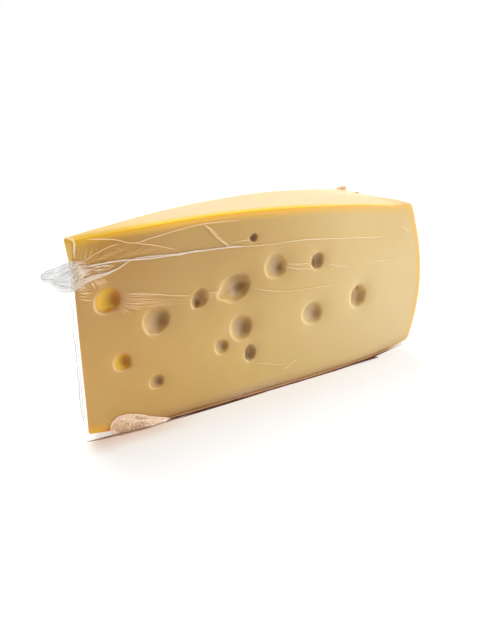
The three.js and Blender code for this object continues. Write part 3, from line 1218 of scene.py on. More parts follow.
@dataclass(frozen=True)
class FilmFinish:
    """Clear cling film: what it lets through, how milky it is, how it shines."""

    name: str
    milk: float
    milk_colour: Colour = (0.93, 0.87, 0.78)
    shine: float = 1.3
    roughness: float = 0.16
    painted_glow: float = 0.0
    grain: float = 0.0
    grain_scale: Triple = (900.0, 900.0, 900.0)
    most_shine: float = 0.16
    ripple: float = 0.05

    def glare(self, tree: ShaderTree) -> Value:
        """How much of its shine the film keeps, from 0 to 1."""
        return 1 - tree.attribute("hollow").step(0.02, 0.35) * 0.85

    def milkiness(self, tree: ShaderTree) -> Value:
        """How much of the light the film scatters back.

        Args:
            tree: the film's tree.

        Returns:
            A share, from 0 to 1.
        """
        speck = tree.noise(self.grain_scale, 3, 0.65).step(0.43, 0.6)
        even = self.milk * (1 - self.grain)
        return tree.attribute("veil") * 0.10 + even + speck * (2 * self.milk * self.grain)

    def made(self) -> bpy.types.Material:
        """Builds the material, unless a piece has it already.

        Returns:
            The material.
        """
        known = bpy.data.materials.get(self.name)
        if known:
            return known
        tree = new_tree(self.name)
        drawn = tree.noise((60, 60, 420), 3, 0.6)
        loose = tree.noise((90, 90, 90), 2, 0.5)
        normal = tree.bump(drawn * 0.6 + loose * 0.6, self.ripple)
        clear = tree.value("ShaderNodeBsdfTransparent", 0)
        milky = tree.value("ShaderNodeBsdfDiffuse", 0, None, {"Color": self.milk_colour})
        # Painted light: the milky part also glows evenly in its own colour.
        if self.painted_glow:
            light = {"Color": self.milk_colour, "Strength": self.painted_glow}
            lit = tree.value("ShaderNodeEmission", 0, None, light)
            milky = tree.value("ShaderNodeAddShader", 0, None, {0: milky, 1: lit})
        gloss_in = {"Color": (1.0, 1.0, 1.0), "Roughness": self.roughness, "Normal": normal}
        gloss = tree.value("ShaderNodeBsdfAnisotropic", 0, None, gloss_in)
        mirror = tree.value("ShaderNodeFresnel", 0, None, {"IOR": 1.45, "Normal": normal})
        body = tree.mixed(self.milkiness(tree), clear, milky)
        shine = (mirror * self.shine).least(self.most_shine) * self.glare(tree)
        tree.finish(tree.mixed(shine, body, gloss))
        return tree.owner


@dataclass(frozen=True)
class HazedFilmFinish(FilmFinish):
    """Tight film with a patch of fine wrinkles along the foot of the front cut."""

    haze: float = 0.3

    def glare(self, tree: ShaderTree) -> Value:
        """How much of its shine the film keeps: little round the upper tip."""
        along, _, up = tree.place()
        return super().glare(tree) * (1 - along.step(50, 5) * up.step(70, 94) * 0.75)

    def milkiness(self, tree: ShaderTree) -> Value:
        """How much of the light the film scatters back: more in the patch.

        Args:
            tree: the film's tree.

        Returns:
            A share, from 0 to 1.
        """
        along, across, up = tree.place()
        patch = along.step(66, 82) * along.step(122, 100) * up.step(9.5, 2.5) * across.step(1, 0)
        speck = tree.noise((700, 700, 1100), 3, 0.7).step(0.42, 0.66)
        return super().milkiness(tree) + patch * speck * self.haze


@dataclass
class Cheese:
    """The cheese itself."""

    wheel: Wheel

    def build(self) -> Pieces:
        """Builds and dresses the wedge.

        Returns:
            Its one piece.
        """
        skin = WedgeSkin(
            self.wheel, is_film=False, grow=0, lift=0.5, edge_round=0.9, loop_spacing=1.5,
            across=18, face_spacing=2, ring_points=56, ring_steps=24,
        )
        wedge = skin.parts().built("cheese_wedge")
        wedge.data.materials.append(CheeseFinish(self.wheel).made())
        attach(wedge, "root")
        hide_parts("cheese")
        return [wedge]


def curved(path: Path, spacing: float) -> Points:
    """A smooth run through the places of a path, at an even spacing.

    Args:
        path: places on a face, as (along, up).
        spacing: wanted distance between the points of the run.

    Returns:
        Rows of (along, up).
    """
    knots = np.array(path, float)
    ends = padded(knots)
    share = np.linspace(0, 1, 13)[:-1, None]
    runs = [eased(*four, share) for four in zip(ends, ends[1:], ends[2:], ends[3:])]
    return resampled(np.vstack([*runs, knots[-1:]]), spacing, 0.0, 0.0)


@dataclass(frozen=True)
class Fold:
    """One fold of the film on a face: where it runs and how wide it is."""

    path: Path
    width: float = 0.5


@dataclass(frozen=True)
class Fan:
    """A spray of fine folds between two lines."""

    starts: Path
    ends: Path
    count: int
    width: float = 0.28
    seed: int = 1

    def folds(self) -> list[Fold]:
        """Draws the spray, uneven in length, place and width.

        Returns:
            Its folds.
        """
        chance = np.random.default_rng(self.seed)
        reach = np.linspace(0, len(self.starts) - 1, self.count)
        starts = np.array(self.starts, float)
        ends = np.array(self.ends, float)
        made = []
        for place in reach:
            base = min(int(place), len(starts) - 2)
            share = place - base
            first = starts[base] * (1 - share) + starts[base + 1] * share
            last = ends[base] * (1 - share) + ends[base + 1] * share
            last = first + (last - first) * chance.uniform(0.55, 1.05)
            middle = (first + last) / 2 + chance.normal(scale=0.25, size=2)
            width = self.width * chance.uniform(0.6, 1.3)
            made.append(Fold((tuple(first), tuple(middle), tuple(last)), width))
        return made


@dataclass
class NodeTree(Tree):
    """A Geometry Nodes tree with named inputs, built from expressions."""

    name: str
    tree: bpy.types.GeometryNodeTree = field(init=False)
    start: bpy.types.Node = field(init=False)

    def __post_init__(self) -> None:
        """Starts the tree with its geometry in and out."""
        self.tree = bpy.data.node_groups.new(self.name, "GeometryNodeTree")
        for direction in ("INPUT", "OUTPUT"):
            self.tree.interface.new_socket(
                "Geometry", in_out=direction, socket_type="NodeSocketGeometry"
            )
        self.start = self.tree.nodes.new("NodeGroupInput")

    def named(self, name: str, kind: str) -> None:
        """Adds an input with a name."""
        self.tree.interface.new_socket(name, in_out="INPUT", socket_type=kind)

    def given(self, name: str) -> bpy.types.NodeSocket:
        """The value of a named input, inside the tree."""
        return self.start.outputs[name]

    def made(self, kind: str, **inputs: object) -> bpy.types.NodeSocket:
        """The first output of a new node, whose inputs are named without spaces."""
        return self.node(kind, None, inputs).outputs[0]

    def number(self, operation: str, *operands: object) -> bpy.types.NodeSocket:
        """The result of one Math node."""
        inputs = dict(enumerate(operands))
        return self.node("ShaderNodeMath", {"operation": operation}, inputs).outputs[0]

    def vector(self, operation: str, **inputs: object) -> bpy.types.NodeSocket:
        """The result of one Vector Math node, with inputs a, b and scale."""
        slots = {{"a": 0, "b": 1, "scale": 3}[name]: value for name, value in inputs.items()}
        return self.node("ShaderNodeVectorMath", {"operation": operation}, slots).outputs[0]

    def close(self, geometry: bpy.types.NodeSocket) -> None:
        """Sends the result out of the tree."""
        self.node("NodeGroupOutput", None, {0: geometry})

    def applied(self, name: str, source: bpy.types.ID, values: dict[str, object]) -> Piece:
        """Runs the tree on some data and keeps the result as a plain mesh.

        Args:
            name: name of the new object and its mesh.
            source: the data that the tree starts from.
            values: the named inputs.

        Returns:
            The object, with no modifier.
        """
        carrier = linked(f"{name}_source", source)
        modifier = carrier.modifiers.new(self.name, "NODES")
        modifier.node_group = self.tree
        sockets = {item.name: item.identifier for item in self.tree.interface.items_tree}
        for label, value in values.items():
            modifier[sockets[label]] = value
        graph = bpy.context.evaluated_depsgraph_get()
        mesh = bpy.data.meshes.new_from_object(carrier.evaluated_get(graph), depsgraph=graph)
        mesh.name = name
        bpy.data.objects.remove(carrier)
        return linked(name, mesh)


def fold_tree() -> NodeTree:
    """The tree that turns lines into strands of folded film.

    Returns:
        The tree, with the inputs Strands, Spread, Wave, Seed and Finish.
    """
    tree = NodeTree("folded_strands")
    tree.named("Strands", "NodeSocketInt")
    for name in ("Spread", "Wave", "Seed"):
        tree.named(name, "NodeSocketFloat")
    tree.named("Finish", "NodeSocketMaterial")
    copies = tree.node(
        "GeometryNodeDuplicateElements",
        {"domain": "SPLINE"},
        {"Geometry": tree.given("Geometry"), "Amount": tree.given("Strands")},
    )
    place = tree.made("GeometryNodeInputPosition")
    where = tree.vector("SCALE", a=place, scale=tree.given("Wave"))
    which = tree.number("MULTIPLY_ADD", copies.outputs["Duplicate Index"], 3.7, tree.given("Seed"))
    noise = tree.node(
        "ShaderNodeTexNoise",
        {"noise_dimensions": "4D"},
        {"Vector": where, "W": which, "Scale": 1.0, "Detail": 2.0},
    )
    share = tree.node("GeometryNodeSplineParameter").outputs["Factor"]
    bow = tree.number("MULTIPLY", tree.number("SUBTRACT", 1.0, share), share)
    apart = tree.number("MULTIPLY", tree.number("POWER", bow, 0.5), tree.given("Spread"))
    centred = tree.vector("SUBTRACT", a=noise.outputs["Color"], b=(0.5, 0.5, 0.5))
    offset = tree.vector("SCALE", a=centred, scale=apart)
    moved = tree.made("GeometryNodeSetPosition", Geometry=copies.outputs[0], Offset=offset)
    own = tree.made("GeometryNodeInputRadius")
    uneven = tree.number("MULTIPLY_ADD", noise.outputs["Fac"], 1.6, 0.2)
    radius = tree.number("MULTIPLY", own, uneven)
    sized = tree.made("GeometryNodeSetCurveRadius", Curve=moved, Radius=radius)
    ring = tree.made("GeometryNodeCurvePrimitiveCircle", Resolution=6, Radius=1.0)
    tube = tree.node(
        "GeometryNodeCurveToMesh",
        None,
        {
            "Curve": sized,
            "Profile Curve": ring,
            "Scale": tree.made("GeometryNodeInputRadius"),
            "Fill Caps": True,
        },
    )
    soft = tree.made("GeometryNodeSetShadeSmooth", Geometry=tube.outputs[0])
    real = tree.made("GeometryNodeRealizeInstances", Geometry=soft)
    tree.close(tree.made("GeometryNodeSetMaterial", Geometry=real, Material=tree.given("Finish")))
    return tree


ROPES = (
    Fold(
        (
            (4.8, 87.1), (11.6, 87.3), (22.2, 87.2), (32.2, 86.1), (47.5, 85.2), (59.9, 85),
            (77.1, 84.1), (88, 82.9),
        ), 0.62,
    ),
    Fold(
        (
            (-0.3, 78.1), (3.6, 79.9), (7.4, 81.3), (13.9, 81.9), (20.6, 83.8), (24.5, 85.8),
            (27, 86.4),
        ), 0.68,
    ),
    Fold(((24.5, 85.8), (30, 86.9), (37.6, 86.6), (49.1, 85.4), (61, 85.3)), 0.42),
    Fold(((-0.6, 78.9), (3, 80.9), (7.6, 82.3), (14.2, 82.6), (20.2, 84)), 0.5),
    Fold(((-0.6, 77.6), (3.8, 79.3), (8, 80.6), (13, 81.2)), 0.5),
)
CREASES = (
    Fold(((77.1, 84.1), (96.9, 81.9), (108, 81.2)), 0.5),
    Fold(((106, 81.3), (121, 80.8), (142.8, 78.1), (174.6, 73.7)), 0.55),
    Fold(
        (
            (7.2, 99.2), (19.2, 97.3), (28.4, 94.2), (38, 95.3), (53.6, 97.1), (62.8, 97.6),
            (83.2, 96.7),
        ), 0.5,
    ),
    Fold(((28.4, 94.2), (38, 91.6), (49.1, 87.6)), 0.45),
    Fold(((62.8, 97.6), (66.5, 94.6), (70.6, 89.8), (77.4, 84.1)), 0.6),
    Fold(((63.6, 97.4), (68, 94), (72.4, 89), (78, 84.2)), 0.35),
    Fold(((4, 89.1), (8.2, 91.1), (12.9, 93), (17.6, 94.4), (22.3, 95)), 0.4),
    Fold(((1.3, 73.3), (7.4, 70.9)), 0.4),
    Fold(((2.1, 72.2), (8.1, 71)), 0.35),
    Fold(((3.4, 76.4), (7.7, 74.3)), 0.3),
    Fold(((2.3, 74.3), (6.7, 72.9)), 0.3),
    Fold(((23, 71), (36.7, 68.3), (46, 65.8), (56.1, 63.6)), 0.5),
    Fold(((66.5, 62.6), (70.3, 62), (74, 62)), 0.4),
    Fold(((77.7, 86.2), (88.9, 86)), 0.45),
    Fold(((110.9, 69.5), (118, 68.3), (125.3, 67.5)), 0.38),
    Fold(((111, 67.9), (118.5, 65.6), (125.5, 64.9)), 0.42),
    Fold(((136.4, 65), (144, 63), (152.1, 60.5)), 0.32),
    Fold(((137, 64), (144, 62.2), (150, 59.4)), 0.3),
    Fold(((92, 59.7), (102, 56.8), (112.6, 54.5), (126, 53.5), (148.6, 52)), 0.4),
    Fold(((165.9, 60.3), (177, 60.2), (189.2, 59.1)), 0.42),
    Fold(((185.6, 78.2), (189, 76.5), (193, 73.2)), 0.45),
    Fold(((93, 17.6), (101, 15.4), (110.1, 12.5), (120.5, 13.4)), 0.4),
    Fold(((108.9, 8.6), (114.7, 11.9), (120.5, 15.6)), 0.35),
    Fold(((110.1, 12.5), (112.6, 9.8), (116.4, 9)), 0.35),
    Fold(((12.4, 86.2), (17.9, 85.2)), 0.35),
    Fold(((9.1, 85), (16.9, 84.3)), 0.35),
    Fold(((14, 83.6), (19.8, 85.8)), 0.3),
    Fold(((20, 88.6), (23.4, 84.2)), 0.3),
    Fold(((8.9, 99), (12, 98.6), (15.2, 98.1)), 0.3),
    Fold(((-0.3, 90.4), (1.9, 89.9), (3.3, 86), (4.8, 83), (1.2, 82.3), (-0.3, 80)), 0.7),
    Fold(((36.4, 47.9), (37.2, 47.5), (38.2, 47.6)), 1.2),
    Fold(((0.8, 86.8), (3, 83.2), (6.2, 80.9)), 0.5),
    Fold(((0.5, 84), (4.4, 84.6), (8.4, 83.4)), 0.4),
    Fold(((55, 40.6), (62, 40), (69, 40.4)), 0.25),
)
FANS = (
    Fan(
        ((6, 80.5), (8.3, 80.8), (10.6, 81), (13.8, 81.1)),
        ((7.8, 75), (11.1, 75.2), (13.4, 75.6), (16.3, 76)), 15, 0.52, 3,
    ),
    Fan(
        ((21.1, 70.9), (21.2, 69), (20.8, 67.1), (20.5, 65.2), (20.1, 63.4)),
        ((35.2, 69.4), (42, 66), (37.4, 63.4), (27.3, 60.6), (23.7, 58.6)), 13, 0.26, 4,
    ),
    Fan(
        ((17.5, 93.3), (18.9, 93.5), (20.8, 93.7), (23.4, 93.6)),
        ((20, 88.8), (21.9, 89.2), (23.8, 89.8), (26, 90.4)), 6, 0.3, 5,
    ),
    Fan(((1.6, 80), (1.6, 77.4), (1.6, 74.6)), ((7.6, 77.6), (8, 75.4), (7.8, 73.4)), 7, 0.4, 7),
    Fan(((24, 66.2), (24, 65), (24, 63.8)), ((62, 62.4), (58, 60.4), (66, 59)), 5, 0.16, 8),
    Fan(
        ((113, 69), (113.4, 67), (112.8, 64.8)),
        ((121, 68.4), (123, 66.6), (120, 64.2)), 5, 0.22, 9,
    ),
    Fan(((64, 63.4), (64.6, 62), (64.6, 60.4)), ((72, 62.6), (74, 61.6), (71, 59.8)), 5, 0.24, 10),
    Fan(((94, 87.6), (94.2, 86.2), (94, 84.6)), ((103, 87), (104, 85.6), (101, 84.2)), 4, 0.2, 11),
)
TIP_FANS = (
    Fan(
        ((1.6, 87), (3.6, 87.4), (5.8, 87.8), (8.6, 88.4), (12, 89.2)),
        ((0.6, 97), (4.6, 97), (9.4, 96.2), (15.8, 94.8), (26, 92.4)), 34, 0.34, 6,
    ),
    Fan(((20, 88.2), (26, 88.6), (32, 88.6)), ((30, 92.4), (38, 92), (46, 90.6)), 12, 0.3, 17),
)
TANGLES = (
    Fan(
        ((-0.9, 90.4), (-1, 87), (-1, 83.4), (-1, 80), (-0.8, 77.4)),
        ((7, 89), (9.4, 86.2), (10, 83.6), (8.6, 81), (5, 78)), 34, 0.42, 16,
    ),
    Fan(
        ((8.2, 86.8), (8.8, 85.6), (9.2, 84.4), (9.6, 83)),
        ((17.6, 86.6), (18.4, 85.4), (16.6, 84.6), (13.4, 82.6)), 10, 0.3, 21,
    ),
)
REAR_FOLDS = (
    Fold(((9, 84), (30, 85.4), (64, 78.6), (110, 80.2), (150, 76), (184, 72)), 0.5),
    Fold(((9, 70), (34, 64), (42.5, 62.6)), 0.4),
    Fold(((54.5, 60.6), (78, 57), (97, 50.4)), 0.4),
    Fold(((113, 46), (130, 42.6), (155, 39.6)), 0.4),
    Fold(((144.5, 60), (168, 55.6), (190, 56.4)), 0.35),
    Fold(((20, 18), (44, 15), (69, 20.6)), 0.35),
    Fold(((60, 95), (74, 88), (92, 80)), 0.45),
    Fold(((150, 15), (172, 22), (192, 24.4)), 0.4),
    Fold(((104, 90.6), (128, 86), (166, 80)), 0.35),
)
REAR_FANS = (
    Fan(((54.6, 64.4), (54.8, 61.6), (54.2, 58.6)), ((66, 65), (70, 60), (64, 55)), 8, 0.24, 12),
    Fan(((97.4, 50.6), (97, 47), (97.6, 43.4)), ((86, 52), (82, 47), (87, 41)), 8, 0.24, 13),
    Fan(((144.4, 64.4), (144.8, 61), (144, 57.4)), ((156, 66), (160, 61), (155, 55)), 8, 0.24, 14),
)


def line_curve(name: str, lines: Lines, taper: float) -> bpy.types.Curve:
    """Lines as one curve, each with its own width.

    Args:
        name: name of the curve data.
        lines: each line's points in the wedge's millimetres, and its width.
        taper: length over which a line grows from a quarter of its width at each end.

    Returns:
        A curve with a spline for each line, its radius half the line's width in metres.
    """
    data = bpy.data.curves.new(name, "CURVE")
    data.dimensions = "3D"
    for points, width in lines:
        spline = data.splines.new("POLY")
        spline.points.add(len(points) - 1)
        rows = np.column_stack([placed(points), np.ones(len(points))])
        spline.points.foreach_set("co", rows.ravel())
        reach = reach_along(points)
        ends = 0.25 + 0.75 * smooth(0, taper, np.minimum(reach, reach[-1] - reach))
        spline.points.foreach_set("radius", width / 2 * MM * ends)
    return data


def film_piece(piece: Piece) -> Piece:
    """Makes a piece part of the wrapping.

    Args:
        piece: the piece.

    Returns:
        The same piece.
    """
    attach(piece, "root")
    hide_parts("film")
    return piece


def film_mesh(name: str, finish: FilmFinish, parts: MeshParts) -> Piece:
    """Builds a piece of the wrapping from its points and faces.

    Args:
        name: the piece's name.
        finish: what it looks like.
        parts: its points and faces.

    Returns:
        The piece.
    """
    piece = parts.built(name)
    piece.data.materials.append(finish.made())
    return film_piece(piece)


def sheets(wall: float, *grids: Points) -> MeshParts:
    """Thin closed sheets round grids of points.

    Args:
        wall: their thickness.
        *grids: the grids, each rows by columns of x, y, z.

    Returns:
        The points and faces of them all.
    """
    parts = MeshParts()
    for grid in grids:
        parts.sheet(grid, wall)
    return parts


@dataclass(frozen=True)
class FilmLines:
    """Fine lines of doubled film, made from runs of points."""

    name: str
    finish: FilmFinish
    strands: int = 1
    spread: float = 0.3
    wave: float = 120.0
    seed: float = 1.0
    taper: float = 3.0

    def build(self, tree: NodeTree, lines: Lines) -> Piece:
        """Builds the lines as one piece.

        Args:
            tree: what turns lines into strands.
            lines: each line's points, and its width.

        Returns:
            The piece.
        """
        values = {
            "Strands": self.strands,
            "Spread": self.spread * MM,
            "Wave": float(self.wave),
            "Seed": float(self.seed),
            "Finish": self.finish.made(),
        }
        curve = line_curve(self.name, lines, self.taper)
        return film_piece(tree.applied(self.name, curve, values))


@dataclass(frozen=True)
class FilmFolds:
    """Folds of the film on the two cut faces, made as strands along their lines."""

    skin: WedgeSkin
    tree: NodeTree
    spacing: float = 0.8
    proud: float = 0.12
    taper: float = 4.0
    tangled: float = 420.0
    left_end: float = 100.0
    roped: FilmFinish = FilmFinish("film_roped", 0.66, (1.0, 0.83, 0.66), 0.8, 0.25)
    # The creases glow a little, and those towards the rind are paler and glow more: painted light
    # where the light from the right catches them.
    faint: FilmFinish = FilmFinish("film_creased", 0.5, (1.0, 0.76, 0.44), 0.3, 0.3, painted_glow=0.1)
    pale: FilmFinish = FilmFinish(
        "film_creased_pale", 0.36, (1.0, 0.87, 0.62), 0.3, 0.3, painted_glow=0.16
    )
    gold: FilmFinish = FilmFinish("film_pleated_gold", 0.34, (1.0, 0.72, 0.30), 0.4, 0.3)

    def lines(self, face: CutFace, folds: Iterable[Fold]) -> Lines:
        """Lines on the film for a set of folds.

        Args:
            face: which cut face they lie on.
            folds: the folds.

        Returns:
            Each line's points, and its width.
        """
        lines = []
        for fold in folds:
            spots = curved(fold.path, self.spacing)
            depth = self.sunk(face, spots) - self.proud
            lines.append((self.skin.surface(face, spots, depth), fold.width))
        return lines

    def sunk(self, face: CutFace, spots: Points) -> Points:
        """How far the film goes into the eyes.

        Args:
            face: which cut.
            spots: rows of (along, up).

        Returns:
            One depth per place.
        """
        depth = np.zeros(len(spots))
        for eye in face.eyes:
            knots = np.array(eye.form.value)[::-1]
            share = np.interp(np.hypot(*eye.offset(spots)), knots[:, 0], knots[:, 1])
            depth = np.maximum(depth, share * eye.deep * eye.form.film_share)
        return depth

    def build(self) -> Pieces:
        """Builds and dresses the folds.

        Returns:
            The pieces.
        """
        left, right = [], []
        for fold in CREASES:
            (left if fold.path[0][0] <= self.left_end else right).append(fold)
        tangle, fans, tip_fans, rear_fans = (
            [fold for fan in group for fold in fan.folds()]
            for group in (TANGLES, FANS, TIP_FANS, REAR_FANS)
        )
        rear = [*REAR_FOLDS, *rear_fans]
        plans = (
            (FRONT, tangle, FilmLines("film_knot", self.roped, 1, 2.2, self.tangled, 14)),
            (FRONT, ROPES, FilmLines("film_ropes", self.roped, 3, 3.2, seed=2)),
            (FRONT, left, FilmLines("film_creases", self.faint, 1, 0.5, seed=5)),
            (FRONT, right, FilmLines("film_creases_right", self.pale, 1, 0.5, seed=6)),
            (FRONT, fans, FilmLines("film_pleats", self.faint, 1, 0.3, seed=8)),
            (FRONT, tip_fans, FilmLines("film_pleats_tip", self.gold, 1, 0.8, seed=9)),
            (REAR, rear, FilmLines("film_creases_rear", self.faint, 1, 0.5, seed=11)),
        )
        return [
            replace(plan, taper=self.taper).build(self.tree, self.lines(face, folds))
            for face, folds, plan in plans
        ]


def between(first: Points, second: Points, rows: int) -> Points:
    """A grid of points, in even steps from one row to another."""
    share = np.linspace(0, 1, rows)[:, None, None]
    return first[None] * (1 - share) + second[None] * share


def run(knots: Path, count: int) -> Points:
    """Points evenly spread along a smooth run.

    Args:
        knots: places that it goes through.
        count: how many points.

    Returns:
        Rows of coordinates.
    """
    close = curved(knots, 0.1)
    reach = reach_along(close)
    spots = np.linspace(0, reach[-1], count)
    return np.column_stack([np.interp(spots, reach, column) for column in close.T])


def traced(grid: Points, start: Pair, end: Pair) -> Points:
    """Points along a straight run across a grid.

    Args:
        grid: rows by columns of x, y, z.
        start: where it starts, as shares of the rows and of the columns.
        end: where it ends, in the same way.

    Returns:
        Rows of x, y, z.
    """
    share = np.linspace(0, 1, 26)[:, None]
    last = np.array(grid.shape[:2]) - 1
    place = np.clip(np.array(start) * (1 - share) + np.array(end) * share, 0, 1) * last
    base = np.minimum(place.astype(int), last - 1)
    row, column = base.T
    down, right = (place - base).T[..., None]
    upper = grid[row, column] * (1 - right) + grid[row, column + 1] * right
    lower = grid[row + 1, column] * (1 - right) + grid[row + 1, column + 1] * right
    return upper * (1 - down) + lower * down


@dataclass(frozen=True)
class FilmEar:
    """The ear of pinched film that stands out from the tip."""

    tree: NodeTree
    upper: Path = ((0.5, 90.5), (-2.6, 89.8), (-7.9, 88.4), (-10.9, 88), (-13.2, 86.9))
    lower: Path = (
        (0.4, 77.2), (-1.1, 76.4), (-5, 77.3), (-7.1, 78.9), (-9.4, 81.6), (-12.4, 83.6),
    )
    steps: tuple[int, int] = (54, 44)
    middle: float = 0.7
    swell: float = 1.2
    pleat_depth: float = 0.38
    crumple: float = 0.3
    wall: float = 0.1
    knot_left: Path = ((-1, 77.2), (-1.2, 80.6), (-1.1, 84), (-1, 87.4), (-0.9, 90.8))
    knot_right: Path = ((1, 78), (3.2, 81), (5, 83.6), (4.2, 86.6), (1.6, 90))
    knot_steps: tuple[int, int] = (44, 40)
    streak_count: int = 13
    clear: FilmFinish = FilmFinish(
        "film_pinched", 0.24, (0.77, 0.765, 0.755), 1.3, 0.18, grain=0.25,
        grain_scale=(160, 420, 700),
    )
    knotted: FilmFinish = FilmFinish(
        "film_knotted", 0.25, (1.0, 0.88, 0.74), 1.0, 0.18, grain=0.6
    )
    bright: FilmFinish = FilmFinish("film_streaked", 0.5, (0.95, 0.95, 0.95), 1.6, 0.2)
    grey: FilmFinish = FilmFinish("film_outlined", 0.26, (0.50, 0.49, 0.48), 0.8, 0.25)

    def side(self, facing: float, pleats: float, seed: int) -> Points:
        """One of the ear's two sheets.

        Args:
            facing: -1 for the front sheet, 1 for the rear one.
            pleats: how many pleats it has.
            seed: which pattern of creases.

        Returns:
            A grid of points, from the tip to the nose.
        """
        rows, columns = self.steps
        high, low = run(self.upper, rows), run(self.lower, rows)
        out = np.linspace(0, 1, rows)[:, None]
        up = np.linspace(0, 1, columns)[None, :]
        spots = low[:, None] + (high - low)[:, None] * up[..., None]
        nose = 0.9 * np.sin(math.pi * up) * smooth(0.8, 1.0, out)
        arch = np.sin(math.pi * up)
        lean = self.swell * arch**0.6 * (1 - 0.75 * out) * (0.4 + 0.6 * smooth(0, 0.2, out))
        wave = np.sin(2 * math.pi * (pleats * up + 0.25 * np.sin(4 * out + seed)) + seed)
        fold = self.pleat_depth * wave * (1 - 0.5 * out) * arch**0.4
        across = self.middle + facing * (lean + 0.12) + fold * (0.35 + 0.65 * smooth(0, 0.25, out))
        grid = np.stack([spots[..., 0] - nose, across, spots[..., 1]], axis=-1)
        flat = grid.reshape(-1, 3) * np.array([0.55, 1.0, 1.0])
        grid[..., 1] += self.crumple * facets(flat, 2.6, seed).reshape(rows, columns)
        if facing < 0:
            tight = smooth(-1.6, 0.2, grid[..., 0])
            grid[..., 1] = grid[..., 1] * (1 - tight) - 0.6 * tight
        return grid

    def knot(self) -> Points:
        """The crumpled film on the front cut, where the ear is pinched off.

        Returns:
            A grid of points.
        """
        rows, columns = self.knot_steps
        flat = between(run(self.knot_left, columns), run(self.knot_right, columns), rows)
        spots = flat.reshape(-1, 2)
        rough = 0.5 * facets(spots, 2.2, 61) + 0.3 * facets(spots, 1.0, 62)
        out = np.minimum(-0.8 - rough.reshape(rows, columns), -0.5)
        return np.stack([flat[..., 0], out, flat[..., 1]], axis=-1)

    def lines(self, front: Points) -> tuple[Lines, ...]:
        """The lines on the ear's front sheet.

        Args:
            front: the sheet's grid.

        Returns:
            The bright lines and the dark ones, each a list of points and widths.
        """
        chance = np.random.default_rng(5)
        streaks, shadows = [], []
        proud = np.array([0, -0.14, 0])
        for place in np.linspace(0.04, 0.96, self.streak_count):
            end = (chance.uniform(0.45, 1.0), 0.3 + 0.4 * place + chance.normal(scale=0.05))
            line = traced(front, (chance.uniform(0, 0.1), place), end) + proud
            kind = streaks if chance.random() < 0.75 else shadows
            kind.append((line, chance.uniform(0.2, 0.45)))
        edge = np.vstack([front[6:, 0], front[-1, 1:-1], front[:4:-1, -1]])
        shadows.append((edge, 0.26))
        for place in (0.3, 0.6):
            shadows.append((traced(front, (0.84, place), (1.0, 0.3 + 0.4 * place)) + proud, 0.4))
        return streaks, shadows

    def build(self) -> Pieces:
        """Builds and dresses the ear.

        Returns:
            The pieces.
        """
        front, rear = self.side(-1.0, 4.3, 3), self.side(1.0, 5.6, 8)
        streaks, shadows = self.lines(front)
        return [
            film_mesh("film_ear", self.clear, sheets(self.wall, front, rear)),
            film_mesh("film_knot_sheet", self.knotted, sheets(self.wall, self.knot())),
            FilmLines("film_ear_streaks", self.bright, 1, 0.4, 150, 21).build(self.tree, streaks),
            FilmLines("film_ear_outline", self.grey, 1, 0.15, 150, 22).build(self.tree, shadows),
        ]


